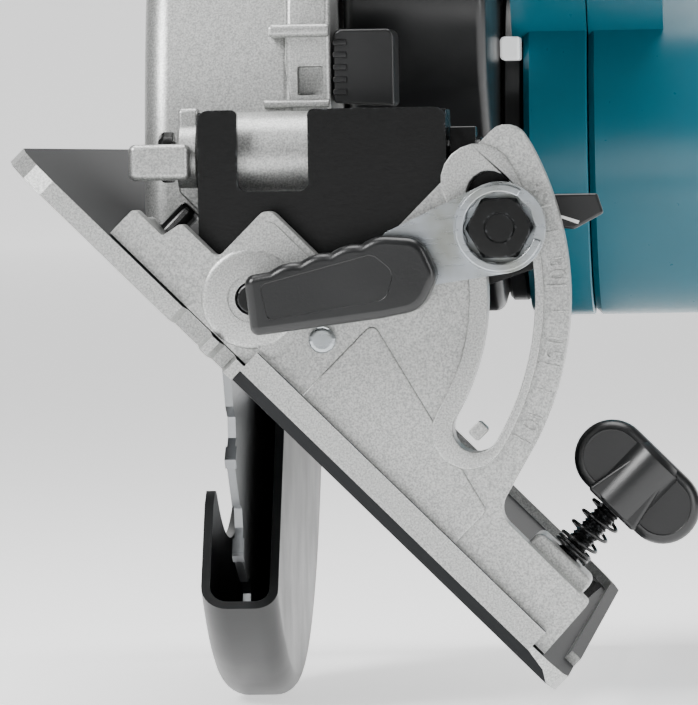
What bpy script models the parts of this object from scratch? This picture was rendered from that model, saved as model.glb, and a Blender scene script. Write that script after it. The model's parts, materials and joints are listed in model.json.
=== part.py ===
"""A cordless circular saw, standing with its base tilted to 45 degrees and set to full depth.

The saw frame has its origin on the front bevel pivot: X towards the motor, Y towards the rear, Z up.
The base has its own frame on the same pivot: U across, Y to the rear, W up from the sole.
Every dimension below is in millimetres. The meshes are in metres.
"""

import bpy
import bmesh
from math import atan2, cos, degrees, pi, radians, sin, sqrt
from mathutils import Euler, Vector
from mathutils.geometry import tessellate_polygon

MM = 0.001
GAP = 0.3  # between pieces that touch on the real saw

# Overall
BASE_LENGTH = 296.0
BASE_LEFT = 51.4
BASE_RIGHT = 92.9
BEVEL = 45.0
SOLE = -13.7  # W of the sole
PLATE = 3.6
BASE_FRONT = -2.5
CORNER = 9.0
RIM = 2.4
LIP_TOP = -6.5
LIP = 2.2
QUAD_THICK = 10.0

# Front bracket
BRACKET_Y = QUAD_THICK + 2
BRACKET_THICK = 3.0
BRACKET_LEFT, BRACKET_RIGHT = -10.8, 36.7
BRACKET_TOP = 35.8

# Depth pivot
BARREL_R = 8.5
PIVOT_Y, PIVOT_Z = BRACKET_Y + BRACKET_THICK + BARREL_R + 0.5, 27.0
PIVOT_BOLT_R = 3.0
EAR_BACK = PIVOT_Y + 9
GUIDE_R = 196.0
GUIDE_WIDTH = 16.0
GUIDE_X = 12.0
GUIDE_THICK = 3.0
GUIDE_REACH = 46.0  # degrees of arc above the pivot
CLAMP_ANGLE = 8.0

# Blade, guard and case
ARBOR_Y, ARBOR_Z = PIVOT_Y + 114, 15.0
BLADE_X = -9.0
BLADE_R = 95.0
BLADE_THICK = 1.6
TEETH = 24
GUARD_R = BLADE_R + 4.0
GUARD_LEFT, GUARD_RIGHT = -17.2, -1.7
GUARD_WALL = 1.8
GUARD_OPEN, GUARD_END = 52.0, 198.0  # degrees below the front of the arbor
CASE_R = GUARD_R + 5.0
CASE_LEFT, CASE_RIGHT = -23.3, 6.0
CASE_WALL = 3.0
CASE_BOTTOM = 14.0
BOSS_R = 20.0

# Quadrant and bevel clamp
ARC_R = 60.3
SLOT_R = 49.2
SLOT_WIDTH = 9.0
SLOT_FROM, SLOT_TO = 14.0, 67.6
BOLT_ANGLE = 14.9
BOLT_R = 4.0
PIN_R = 2.9
LEVER_DROP = 16.5  # degrees below horizontal
HUB_R = 8.7

# Fence clamp
FENCE_U, FENCE_Y = 76.7, 17.0
FENCE_BOSS_TOP = 6.0
KNOB_LOW, KNOB_HIGH = 18.0, 32.3
KNOB_LENGTH = 27.8

# Stop
SCREW_U = -21.2
SCREW_TIP = 3.0
SCREW_R = 2.3

# Drive
MODULE = 0.875
GEAR_TEETH, PINION_TEETH = 40, 10
MOTOR_DIRECTION = 42.0
CENTRES = MODULE * (GEAR_TEETH + PINION_TEETH) / 2
MOTOR_Y = ARBOR_Y + CENTRES * cos(radians(MOTOR_DIRECTION))
MOTOR_Z = ARBOR_Z + CENTRES * sin(radians(MOTOR_DIRECTION))
GEARCASE_R = 33.0
GEARCASE_END = 42.4
LOBE_Y, LOBE_Z, LOBE_R = ARBOR_Y - 52, 58.0, 24.0

# Housing
HOUSING_START = 47.2
SEAM_X = 60.3
HOUSING_END = 112.0
BARREL_HOUSING_R = 36.6
HOUSING_WALL = 2.7
HANDLE_WIDTH = 31.0

# Battery
PACK_X = 85.0
PACK_WIDTH = 75.0
PACK_FRONT = 193.0
PACK_LENGTH = 112.0
PACK_BOTTOM, PACK_TOP = -6.0, 56.0
DOCK_LENGTH = 104.0

TURNS = 40  # sides of a large round shape
SMALL_TURNS = 20


# ---------------------------------------------------------------- scene and bodies

for leftover in list(bpy.data.objects):
    bpy.data.objects.remove(leftover, do_unlink=True)

bodies = {}


def add_body(name, parent, place, tilt=0.0):
    """An empty on a moving piece's axis. place is in the frame that the piece is drawn in."""
    empty = bpy.data.objects.new(name + "_axis", None)
    empty.empty_display_size = 0.02
    bpy.context.scene.collection.objects.link(empty)
    origin = Vector(place)
    if parent:
        parent_empty, parent_origin = bodies[parent]
        empty.parent = parent_empty
        empty.location = (origin - parent_origin) * MM
    empty.rotation_euler = Euler((0, radians(tilt), 0))
    bodies[name] = (empty, origin)


def finish(name, hex_colour, roughness, metallic):
    material = bpy.data.materials.new(name)
    material.use_nodes = True
    shader = material.node_tree.nodes["Principled BSDF"]
    channels = [int(hex_colour[i : i + 2], 16) / 255 for i in (0, 2, 4)]
    linear = [c / 12.92 if c <= 0.04045 else ((c + 0.055) / 1.055) ** 2.4 for c in channels]
    shader.inputs["Base Color"].default_value = (*linear, 1)
    shader.inputs["Roughness"].default_value = roughness
    shader.inputs["Metallic"].default_value = metallic
    return material


FINISHES = {
    "teal": ("00788A", 0.35, 0.0),
    "black_plastic": ("1B1C1E", 0.45, 0.0),
    "black_paint": ("151617", 0.35, 0.3),
    "rubber": ("202123", 0.7, 0.0),
    "cast": ("B9BBBB", 0.42, 0.9),
    "plated": ("C9CBC8", 0.25, 1.0),
    "steel": ("8E9092", 0.3, 1.0),
    "copper": ("B87333", 0.35, 1.0),
    "lens": ("E8ECEE", 0.1, 0.0),
}


def link(name, mesh, body, colour, smooth=35.0):
    """Puts a mesh that is drawn in millimetres on its body."""
    obj = bpy.data.objects.new(name, mesh)
    bpy.context.scene.collection.objects.link(obj)
    empty, origin = bodies[body]
    for vertex in mesh.vertices:
        vertex.co = (vertex.co - origin) * MM
    obj.parent = empty
    mesh.materials.append(finish(name + "_finish", *FINISHES[colour]))
    mesh.shade_smooth()
    mesh.set_sharp_from_angle(angle=radians(smooth))
    return obj


# ---------------------------------------------------------------- outlines


def arc(centre, radius, start, end, steps):
    """Points on a circle, from start to end in degrees."""
    turn = radians(end - start) / steps
    first = radians(start)
    return [
        (centre[0] + radius * cos(first + i * turn), centre[1] + radius * sin(first + i * turn))
        for i in range(steps + 1)
    ]


def circle(centre, radius, steps=TURNS):
    return arc(centre, radius, 0, 360, steps)[:-1]


def box(low, high):
    return [(low[0], low[1]), (high[0], low[1]), (high[0], high[1]), (low[0], high[1])]


def rounded(corners, steps=3):
    """An outline whose corners (a, b, radius) are rounded. A corner of two numbers stays sharp."""
    outline = []
    for i, corner in enumerate(corners):
        here = Vector(corner[:2])
        radius = corner[2] if len(corner) > 2 else 0
        if not radius:
            outline.append(tuple(here))
            continue
        before = (Vector(corners[i - 1][:2]) - here).normalized()
        after = (Vector(corners[(i + 1) % len(corners)][:2]) - here).normalized()
        half = before.angle(after) / 2
        reach = radius / (sin(half) / cos(half))
        middle = here + (before + after).normalized() * (radius / sin(half))
        start = here + before * reach - middle
        end = here + after * reach - middle
        a0 = atan2(start.y, start.x)
        turn = (atan2(end.y, end.x) - a0 + pi) % (2 * pi) - pi
        outline += [
            (middle.x + radius * cos(a0 + turn * s / steps), middle.y + radius * sin(a0 + turn * s / steps))
            for s in range(steps + 1)
        ]
    return outline


def hull(points):
    """The convex outline round some points."""
    points = sorted(set((round(a, 6), round(b, 6)) for a, b in points))

    def half(side):
        chain = []
        for p in side:
            while len(chain) > 1:
                (ax, ay), (bx, by) = chain[-2], chain[-1]
                if (bx - ax) * (p[1] - ay) - (by - ay) * (p[0] - ax) > 1e-9:
                    break
                chain.pop()
            chain.append(p)
        return chain[:-1]

    return half(points) + half(points[::-1])


def sector(centre, inner, outer, start, end, steps):
    """A ring's slice. Angles count from the front (-Y) downwards, as the blade turns."""
    ring = arc(centre, outer, start - 180, end - 180, steps)
    return ring + arc(centre, inner, end - 180, start - 180, steps)


# ---------------------------------------------------------------- solids

ORDERS = {"X": lambda a, b, c: (c, a, b), "Y": lambda a, b, c: (a, c, b), "Z": lambda a, b, c: (a, b, c)}


def prism_mesh(name, rings, axis, low, high):
    """A flat outline, with any holes, drawn out along an axis."""
    place = ORDERS[axis]
    flat = [point for ring in rings for point in ring]
    count = len(flat)
    caps = [tuple(range(count))]
    if len(rings) > 1:
        caps = tessellate_polygon([[Vector((a, b, 0)) for a, b in ring] for ring in rings])
    mesh = bpy.data.meshes.new(name)
    points = [place(a, b, low) for a, b in flat] + [place(a, b, high) for a, b in flat]
    faces = [tuple(cap) for cap in caps] + [tuple(i + count for i in cap[::-1]) for cap in caps]
    first = 0
    for ring in rings:
        size = len(ring)
        for i in range(size):
            j = first + (i + 1) % size
            faces.append((first + i, j, j + count, first + i + count))
        first += size
    mesh.from_pydata(points, [], faces)
    return outward(mesh)


def turned_mesh(name, profile, axis, centre, steps):
    """A closed profile of (along, radius) points turned round an axis. Radius 0 lies on the axis."""
    place = ORDERS[axis]
    rings = []
    points = []
    for along, radius in profile:
        if radius < 1e-6:
            rings.append([len(points)] * steps)
            points.append(place(centre[0], centre[1], along))
            continue
        rings.append(list(range(len(points), len(points) + steps)))
        points += [place(a, b, along) for a, b in circle(centre, radius, steps)]
    faces = []
    for i, ring in enumerate(rings):
        other = rings[(i + 1) % len(rings)]
        for s in range(steps):
            t = (s + 1) % steps
            corners = list(dict.fromkeys((ring[s], ring[t], other[t], other[s])))
            if len(corners) > 2:
                faces.append(corners)
    mesh = bpy.data.meshes.new(name)
    mesh.from_pydata(points, [], faces)
    return outward(mesh)


def outward(mesh):
    work = bmesh.new()
    work.from_mesh(mesh)
    bmesh.ops.recalc_face_normals(work, faces=work.faces)
    work.to_mesh(mesh)
    work.free()
    return mesh


def prism(name, outline, axis, low, high, body, colour, holes=()):
    return link(name, prism_mesh(name, [outline, *holes], axis, low, high), body, colour)


def turned(name, profile, axis, centre, body, colour, steps=SMALL_TURNS):
    return link(name, turned_mesh(name, profile, axis, centre, steps), body, colour)


def tool(obj):
    obj.hide_render = True
    obj.display_type = "WIRE"
    return obj


def combine(obj, other, operation):
    modifier = obj.modifiers.new(other.name, "BOOLEAN")
    modifier.operation = operation
    modifier.solver = "EXACT"
    modifier.object = tool(other)
    return obj


def cut(obj, *others):
    for other in others:
        combine(obj, other, "DIFFERENCE")


def join(obj, *others):
    for other in others:
        combine(obj, other, "UNION")


def cap_screw(name, axis, centre, head_at, head, shank_to, shank, body, colour):
    """A round-headed screw. head and shank are (radius, height) and radius."""
    side = 1 if shank_to > head_at else -1
    radius, height = head
    profile = [
        (head_at - side * height, 0),
        (head_at - side * height, radius * 0.8),
        (head_at - side * height * 0.7, radius),
        (head_at, radius),
        (head_at, shank),
        (shank_to, shank),
        (shank_to, 0),
    ]
    return turned(name, profile, axis, centre, body, colour, 14)


def ring(name, axis, centre, low, high, inner, outer, body, colour, steps=SMALL_TURNS):
    profile = [(low, inner), (low, outer), (high, outer), (high, inner)]
    return turned(name, profile, axis, centre, body, colour, steps)


# ---------------------------------------------------------------- bodies

add_body("saw", None, (0, 0, 0))
add_body("tilt", "saw", (0, PIVOT_Y, PIVOT_Z))
add_body("base", "tilt", (0, 0, 0), BEVEL)
bodies["base"] = (bodies["base"][0], Vector((0, 0, 0)))
BOLT_X = SLOT_R * cos(radians(BOLT_ANGLE))
BOLT_Z = SLOT_R * sin(radians(BOLT_ANGLE))
CLAMP_Y = PIVOT_Y + GUIDE_R * cos(radians(CLAMP_ANGLE))
CLAMP_Z = PIVOT_Z + GUIDE_R * sin(radians(CLAMP_ANGLE))
add_body("stop", "tilt", (0, PIVOT_Y, PIVOT_Z))
add_body("bevel_lever", "tilt", (BOLT_X, 0, BOLT_Z))
add_body("fence_screw", "base", (FENCE_U, FENCE_Y, 0))
add_body("guard", "saw", (0, ARBOR_Y, ARBOR_Z))
add_body("blade", "saw", (0, ARBOR_Y, ARBOR_Z))
add_body("rotor", "saw", (0, MOTOR_Y, MOTOR_Z))
add_body("trigger", "saw", (SEAM_X, 141, 134))
add_body("lock_off", "saw", (SEAM_X, 113, 150))
add_body("shaft_lock", "saw", (19.5, 46, 44))
add_body("battery", "saw", (PACK_X, PACK_FRONT, 25))
add_body("latch", "battery", (PACK_X, PACK_FRONT + PACK_LENGTH - 8, 55))
add_body("depth_lever", "saw", (0, CLAMP_Y, CLAMP_Z))

ARBOR = (ARBOR_Y, ARBOR_Z)
MOTOR = (MOTOR_Y, MOTOR_Z)
PIVOT = (PIVOT_Y, PIVOT_Z)
CLAMP = (CLAMP_Y, CLAMP_Z)
BOLT = (BOLT_X, BOLT_Z)
FENCE = (FENCE_U, FENCE_Y)
LOBE = (LOBE_Y, LOBE_Z)


# ---------------------------------------------------------------- base


def base_plate():
    """The cast sole: a plate with a blade window, sight notches, a raised rim and a front lip."""
    back = BASE_FRONT + BASE_LENGTH
    top = SOLE + PLATE
    outline = rounded(
        [
            (-BASE_LEFT, BASE_FRONT, CORNER),
            (-8.3, BASE_FRONT),
            (-7.3, BASE_FRONT + 5),
            (-1.3, BASE_FRONT + 5),
            (-0.3, BASE_FRONT),
            (1.5, BASE_FRONT),
            (2.4, BASE_FRONT + 5),
            (5.1, BASE_FRONT + 5),
            (6.0, BASE_FRONT),
            (BASE_RIGHT, BASE_FRONT, CORNER),
            (BASE_RIGHT, back, CORNER),
            (-BASE_LEFT, back, CORNER),
        ]
    )
    reach = sqrt(GUARD_R**2 - (ARBOR_Z - top) ** 2)
    window = rounded(
        [
            (-19, ARBOR_Y - reach - 5, 4),
            (23, ARBOR_Y - reach - 5, 4),
            (23, ARBOR_Y + reach + 36, 4),
            (-19, ARBOR_Y + reach + 36, 4),
        ]
    )
    plate = prism("base_plate", outline, "Z", SOLE, top + 2, "base", "cast")
    cut(plate, prism("blade_window", window, "Z", SOLE - 1, top + 4, "base", "cast"))
    sunk = rounded(
        [
            (-BASE_LEFT - 9, BASE_FRONT - 9),
            (BASE_RIGHT + 9, BASE_FRONT - 9),
            (BASE_RIGHT + 9, 36),
            (BASE_RIGHT - RIM, 36),
            (BASE_RIGHT - RIM, back - RIM, CORNER - RIM),
            (-BASE_LEFT - 9, back - RIM),
        ]
    )
    cut(plate, prism("base_tray", sunk, "Z", top, top + 5, "base", "cast"))
    lip = box((8, top - 1), (BASE_RIGHT - CORNER, LIP_TOP))
    front = prism("base_lip", lip, "Y", BASE_FRONT + 0.02, BASE_FRONT + LIP, "base", "cast")
    join(plate, front)
    nose = [(BASE_FRONT - 1, SOLE + 3.2), (BASE_FRONT - 1, SOLE - 1), (BASE_FRONT + 5, SOLE - 1)]
    cut(plate, prism("nose_cutter", nose, "X", 8, BASE_RIGHT + 1, "base", "cast"))


def quadrant():
    """The upright casting that carries the bevel pivot, the arc slot and the fence clamp."""
    foot = SOLE + PLATE + GAP
    outline = rounded(
        [
            (-28, foot),
            (-28, -3.3, 1),
            (-20.5, -3.3, 0.5),
            (-19.6, 0.9, 1),
            (-10, 0.9, 1.5),
            (-10, 14.4, 2),
            (10.5, 14.4, 3),
            (10.5, sqrt(ARC_R**2 - 10.5**2), 4),
            *arc((0, 0), ARC_R, 73, 16.5, 14),
            (61.5, 3.2, 4),
            (86, 3.0, 1),
            (86.6, foot),
        ]
    )
    half = SLOT_WIDTH / 2
    slot = arc((0, 0), SLOT_R + half, SLOT_FROM, SLOT_TO, 14)
    slot += arc(polar(SLOT_R, SLOT_TO), half, SLOT_TO, SLOT_TO + 180, 6)[1:-1]
    slot += arc((0, 0), SLOT_R - half, SLOT_TO, SLOT_FROM, 12)
    slot += arc(polar(SLOT_R, SLOT_FROM), half, SLOT_FROM + 180, SLOT_FROM + 360, 6)[1:-1]
    holes = [slot, circle((0, 0), PIN_R + GAP, 16), circle((15.1, 3.7), 1.9, 12)]
    plate = prism("bevel_quadrant", outline, "Y", 0, QUAD_THICK, "base", "cast", holes)
    lug = box((SCREW_U - 5, foot), (SCREW_U + 5, -3.6))
    boss = rounded([(69.8, foot), (69.8, FENCE_BOSS_TOP, 2), (83.9, FENCE_BOSS_TOP, 2), (83.9, foot)])
    join(plate, prism("screw_lug", lug, "Y", QUAD_THICK - 1, PIVOT_Y + 5, "base", "cast"))
    join(plate, prism("fence_boss", boss, "Y", QUAD_THICK - 1, FENCE_Y + 7, "base", "cast"))
    screw_hole = circle((SCREW_U, PIVOT_Y), SCREW_R + GAP, 12)
    cut(plate, prism("screw_hole", screw_hole, "Z", foot - 1, 0, "base", "cast"))
    cut(plate, prism("fence_hole", circle(FENCE, 2.7, 12), "Z", foot - 1, 8, "base", "cast"))
    channel = box((FENCE_Y - 5.5, foot - 1), (FENCE_Y + 5.5, foot + 3.4))
    cut(plate, prism("fence_channel", channel, "X", 68, 85, "base", "cast"))


def polar(radius, angle):
    return (radius * cos(radians(angle)), radius * sin(radians(angle)))


def base_fittings():
    cap_screw("quadrant_rivet", "Y", (15.1, 3.7), -GAP, (2.6, 1.0), 8, 1.6, "base", "plated")
    low = SOLE + PLATE + 1
    profile = [(low, 0), (low, SCREW_R), (SCREW_TIP - 0.5, SCREW_R), (SCREW_TIP, SCREW_R - 0.5), (SCREW_TIP, 0)]
    turned("stop_set_screw", profile, "Z", (SCREW_U, PIVOT_Y), "base", "black_paint", 12)
    back = rounded(
        [(-16, SOLE + PLATE + GAP), (16, SOLE + PLATE + GAP), (12, 7, 5), (-12, 7, 5)]
    )
    hole = circle((0, 0), PIN_R + GAP, 16)
    prism("rear_pivot_bracket", back, "Y", 282, 286, "base", "black_paint", [hole])
    points = []
    steps, turns, low, high = 9, 6, FENCE_BOSS_TOP + 0.8, KNOB_LOW - 0.8
    for i in range(steps * turns + 1):
        angle = 2 * pi * i / steps
        height = low + (high - low) * i / (steps * turns)
        points.append((FENCE_U + 3.7 * cos(angle), FENCE_Y + 3.7 * sin(angle), height))
    wire("fence_spring", points, 0.35, "base", "black_paint")


def wire(name, points, radius, body, colour):
    """A round wire along a list of points."""
    data = bpy.data.curves.new(name, "CURVE")
    data.dimensions = "3D"
    data.bevel_depth = radius * MM
    data.bevel_resolution = 0
    data.use_fill_caps = True
    spline = data.splines.new("POLY")
    spline.points.add(len(points) - 1)
    empty, origin = bodies[body]
    for point, place in zip(spline.points, points):
        point.co = (*((Vector(place) - origin) * MM), 1)
    data.materials.append(finish(name + "_finish", *FINISHES[colour]))
    obj = bpy.data.objects.new(name, data)
    bpy.context.scene.collection.objects.link(obj)
    obj.parent = empty


def fence_clamp():
    """The knob and screw that pinch a rip fence in the channel under the boss."""
    foot = SOLE + PLATE + 4.2
    profile = [(foot, 0), (foot, 2.35), (KNOB_LOW - GAP, 2.35), (KNOB_LOW - GAP, 0)]
    turned("fence_screw", profile, "Z", FENCE, "fence_screw", "plated", 12)
    end = (KNOB_HIGH - KNOB_LOW) / 2
    middle = (KNOB_HIGH + KNOB_LOW) / 2
    reach = KNOB_LENGTH / 2 - end
    outline = arc((FENCE_U + reach, middle), end, -90, 90, 8) + arc((FENCE_U - reach, middle), end, 90, 270, 8)
    wing = prism("fence_knob", outline, "Y", FENCE_Y - 4.2, FENCE_Y + 4.2, "fence_screw", "black_plastic")
    hub = circle(FENCE, 6.2, 16)
    join(wing, prism("knob_hub", hub, "Z", KNOB_LOW + 0.4, KNOB_HIGH - 0.3, "fence_screw", "black_plastic"))


# ---------------------------------------------------------------- tilting bracket


def front_bracket():
    """A pressed bracket: a face behind the quadrant and two ears that hold the depth pivot."""
    back = BRACKET_Y + BRACKET_THICK
    outline = rounded(
        [
            (BRACKET_LEFT, 11, 2),
            (BRACKET_LEFT, BRACKET_TOP),
            (-3.2, BRACKET_TOP),
            (-3.2, 20.2, 1.7),
            (10.3, 20.2, 1.7),
            (10.3, BRACKET_TOP),
            (BRACKET_RIGHT, BRACKET_TOP),
            (BRACKET_RIGHT, 24, 2),
            (BOLT_X + 7, 22.5, 3),
            (BOLT_X + 7, 5, 3),
            (44, 1.5, 3),
            (8, -8.4, 5),
            (-8, -6, 5),
            (-7.5, 8, 2),
        ]
    )
    holes = [circle((0, 0), PIN_R + GAP, 16), circle(BOLT, BOLT_R + GAP, 16)]
    face = prism("front_bracket", outline, "Y", BRACKET_Y, back, "tilt", "black_paint", holes)
    ear = rounded(
        [(back - 0.5, 17.5), (EAR_BACK, 17.5, 5), (EAR_BACK, BRACKET_TOP - 0.4, 5), (back - 0.5, BRACKET_TOP - 0.4)]
    )
    hole = circle(PIVOT, PIVOT_BOLT_R + GAP, 16)
    left, right = BRACKET_LEFT + 0.02, BRACKET_RIGHT - 0.02
    thick = BRACKET_THICK
    join(face, prism("left_ear", ear, "X", left, left + thick, "tilt", "black_paint", [hole]))
    join(face, prism("right_ear", ear, "X", right - thick, right, "tilt", "black_paint", [hole]))


def tilt_fittings():
    back = BRACKET_Y + BRACKET_THICK
    pin = [(0.4, 0), (0.4, PIN_R), (back + 2, PIN_R), (back + 2, 0)]
    turned("front_pivot_pin", pin, "Y", (0, 0), "tilt", "black_paint", 16)
    pin = [(275.6, 0), (275.6, PIN_R), (289, PIN_R), (289, 0)]
    turned("rear_pivot_pin", pin, "Y", (0, 0), "tilt", "plated", 16)
    pointer = rounded([(56.2, 12.5), (61, 12.0), (66.6, 15, 0.6), (65.4, 18.8, 0.6), (56.2, 18.8)])
    prism("bevel_pointer", pointer, "Y", BRACKET_Y - 1.6, BRACKET_Y + 0.5, "tilt", "black_plastic")
    left, right = -16.2, BRACKET_RIGHT + 6.5
    cap_screw("depth_pivot_bolt", "X", PIVOT, left, (5, 3), right, PIVOT_BOLT_R, "tilt", "black_paint")
    hexagon("depth_pivot_nut", "X", PIVOT, BRACKET_RIGHT + GAP, BRACKET_RIGHT + 5.3, 5, PIVOT_BOLT_R + GAP, "tilt")
    hexagon("bevel_clamp_nut", "Y", BOLT, back + GAP, back + 6.5, 6.5, BOLT_R + GAP, "tilt")


def hexagon(name, axis, centre, low, high, half_flats, bore, body, colour="black_paint"):
    corners = circle(centre, half_flats / cos(pi / 6), 6)
    holes = [circle(centre, bore, 14)] if bore else []
    return prism(name, corners, axis, low, high, body, colour, holes)


def depth_guide():
    """The curved arm at the rear: an arc about the depth pivot, with a foot on the rear bevel pivot."""
    half = GUIDE_WIDTH / 2
    low = -6.0
    arm = arc(PIVOT, GUIDE_R + half, low, GUIDE_REACH, 18) + arc(PIVOT, GUIDE_R - half, GUIDE_REACH, low, 18)
    slot_half = BOLT_R + GAP
    slot = arc(PIVOT, GUIDE_R + slot_half, CLAMP_ANGLE - 2, GUIDE_REACH - 2, 14)
    slot += arc(PIVOT, GUIDE_R - slot_half, GUIDE_REACH - 2, CLAMP_ANGLE - 2, 14)
    end = GUIDE_X + GUIDE_THICK
    guide = prism("depth_guide", arm, "X", GUIDE_X, end, "tilt", "plated", [slot])
    link_low = [(212, 2), (216, -4), (281, -4), (281, 12), (222, 20)]
    join(guide, prism("guide_link", link_low, "X", GUIDE_X + 0.02, end - 0.02, "tilt", "plated"))
    foot = rounded([(-9, -7.4, 5), (6, -7.4, 5), (end, -3.6), (end, 11.6), (-9, 9, 5)])
    hole = circle((0, 0), PIN_R + GAP, 16)
    join(guide, prism("guide_foot", foot, "Y", 277, 280.8, "tilt", "plated", [hole]))


def positive_stop():
    """A turret on the depth pivot bolt. Its lower arm meets the set screw at 45 degrees."""
    right = BRACKET_LEFT - 0.4
    left = right - 4.1
    hub = ring("positive_stop", "X", PIVOT, left, right, PIVOT_BOLT_R + GAP, 6.5, "stop", "cast")
    up = box((PIVOT_Y - 2.5, PIVOT_Z + 4.5), (PIVOT_Y + 2.5, PIVOT_Z + 9.5))
    tip = SCREW_TIP * sqrt(2) + 0.8
    down = [
        (left + 0.02, PIVOT_Z - 4.5),
        (left + 0.02, tip - left),
        (right - 0.02, tip - right),
        (right - 0.02, PIVOT_Z - 4.5),
    ]
    near = box((PIVOT_Y - 12, PIVOT_Z - 4.4), (PIVOT_Y - 4.6, PIVOT_Z + 2.6))
    grip = box((PIVOT_Y - 11.9, PIVOT_Z - 4.3), (PIVOT_Y - 5.8, PIVOT_Z + 2.5))
    join(
        hub,
        prism("up_arm", up, "X", left + 0.02, right - 0.02, "stop", "cast"),
        prism("down_arm", down, "Y", PIVOT_Y - 2.5, PIVOT_Y + 2.5, "stop", "cast"),
        prism("front_arm", near, "X", left + 0.02, right - 0.02, "stop", "cast"),
        prism("finger_grip", grip, "X", left - 8.8, right - 0.1, "stop", "cast"),
    )


def along_lever(points):
    """Turns points (along the lever, across it) into X and Z."""
    c, s = cos(radians(LEVER_DROP)), sin(radians(LEVER_DROP))
    return [(BOLT_X - a * c - b * s, BOLT_Z - a * s + b * c) for a, b in points]


def bevel_lever():
    """The plated lever with its plastic grip, the washer and the hexagon bolt it turns."""
    arm_shape = arc((0, 0), HUB_R, 82, 278, 16)
    arm_shape += [(21, -5.6), (24, -3.6), (40, -3.6), (40, 3.6), (24, 3.6), (21, 5.6)]
    bore = along_lever(circle((0, 0), 6.9, 24))
    arm = prism("lever_arm", along_lever(arm_shape), "Y", -6.6, -3.6, "bevel_lever", "plated", [bore])
    boss = along_lever(circle((0, 0), HUB_R - 0.02, 24))
    join(arm, prism("lever_boss", boss, "Y", -9.4, -3.62, "bevel_lever", "plated", [bore]))
    grip_shape = along_lever(
        rounded(
            [
                (13.4, -5.0, 3),
                (18.4, -10.4, 5),
                (26, -9.6, 6),
                (50.4, -5.5, 0.8),
                (48.3, 5.7, 0.8),
                (36, 5.8, 6),
                (20.5, 5.2, 3),
                (14.4, 2.6, 3),
            ]
        )
    )
    grip = prism("lever_grip", grip_shape, "Y", -14.5, -3.2, "bevel_lever", "black_plastic")
    pocket = along_lever([(5, -9), (21.4, -6.2), (24.4, -4), (40.4, -4), (40.4, 4), (24.4, 4), (21.4, 6.2), (5, 9)])
    cut(grip, prism("arm_pocket", pocket, "Y", -6.9, -3.0, "bevel_lever", "plated"))
    shank = circle(BOLT, BOLT_R, 16)
    head = hexagon("bevel_clamp_bolt", "Y", BOLT, -9.0, -3.9, 5.6, 0, "bevel_lever")
    join(head, prism("bolt_shank", shank, "Y", -4.5, BRACKET_Y + 12, "bevel_lever", "plated"))
    ring("bevel_washer", "Y", BOLT, -3.0, -GAP, BOLT_R + GAP, 8.2, "bevel_lever", "plated")


# ---------------------------------------------------------------- guard and blade


def lower_guard():
    """The swinging guard: a trough round the blade's lower half, open on the left for the blade bolt."""
    steps = 30
    shell = sector(ARBOR, 24, GUARD_R, GUARD_OPEN, GUARD_END, steps)
    inside = sector(ARBOR, 20, GUARD_R - GUARD_WALL, GUARD_OPEN - 4, GUARD_END + 4, steps)
    guard = prism("lower_guard", shell, "X", GUARD_LEFT, GUARD_RIGHT, "guard", "black_plastic")
    left, right = GUARD_LEFT + GUARD_WALL, GUARD_RIGHT - GUARD_WALL
    cut(guard, prism("guard_inside", inside, "X", left, right, "guard", "black_plastic"))
    access = sector(ARBOR, 18, GUARD_R - 25, GUARD_OPEN - 5, GUARD_END + 5, steps)
    cut(guard, prism("guard_access", access, "X", GUARD_LEFT - 1, left + 0.5, "guard", "black_plastic"))
    hub = [circle(ARBOR, 28.5, TURNS), circle(ARBOR, BOSS_R + GAP + 0.1, TURNS)]
    collar = prism_mesh("guard_hub", hub, "X", right + 0.1, GUARD_RIGHT - 0.1)
    join(guard, link("guard_hub", collar, "guard", "black_plastic"))
    peg = [spot(66.5, 190), spot(70.8, 190), spot(70.8, 196), spot(66.5, 196)]
    join(guard, prism("guard_peg", peg, "X", GUARD_RIGHT - 0.9, 8.1, "guard", "black_plastic"))
    reach = sector(ARBOR, 62.5, 71.5, 186, 200, 4)
    prism("guard_lever", reach, "X", 8.4, 13.8, "guard", "black_plastic")


def blade():
    """Saw blade: each tooth has a steep face and a long back."""
    outline = []
    pitch = 360 / TEETH
    for tooth in range(TEETH):
        angle = tooth * pitch
        for share, radius in ((0, BLADE_R), (0.1, BLADE_R - 0.8), (0.62, BLADE_R - 5), (0.8, BLADE_R - 8.5), (0.97, BLADE_R - 7)):
            outline.append(spot(radius, angle + share * pitch))
    half = BLADE_THICK / 2
    disc = circle(ARBOR, 8.3, SMALL_TURNS)
    prism("saw_blade", outline, "X", BLADE_X - half, BLADE_X + half, "blade", "steel", [disc])


def spot(radius, angle):
    """A point about the arbor. Angles count from the front downwards."""
    return (ARBOR_Y - radius * cos(radians(angle)), ARBOR_Z - radius * sin(radians(angle)))


def spindle_parts():
    half = BLADE_THICK / 2
    left, right = BLADE_X - half, BLADE_X + half
    ring("inner_flange", "X", ARBOR, right + GAP, right + 3.4, 8.3, 16, "blade", "steel")
    ring("outer_flange", "X", ARBOR, left - 3.2, left - GAP, 4.6, 16, "blade", "steel")
    head = left - 3.2 - GAP
    bolt = hexagon("blade_bolt", "X", ARBOR, head - 5, head, 6.5, 0, "blade")
    join(bolt, prism("bolt_thread", circle(ARBOR, 4, 14), "X", head - 1, 6, "blade", "plated"))
    profile = [
        (left, 4.4),
        (left, 7.9),
        (12, 7.9),
        (12, 7.3),
        (40.5, 7.3),
        (40.5, 0),
        (8, 0),
        (8, 4.4),
    ]
    turned("spindle", profile, "X", ARBOR, "blade", "steel")
    gear("spindle_gear", GEAR_TEETH, ARBOR, 17, 28, 7.6, "blade")


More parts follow.
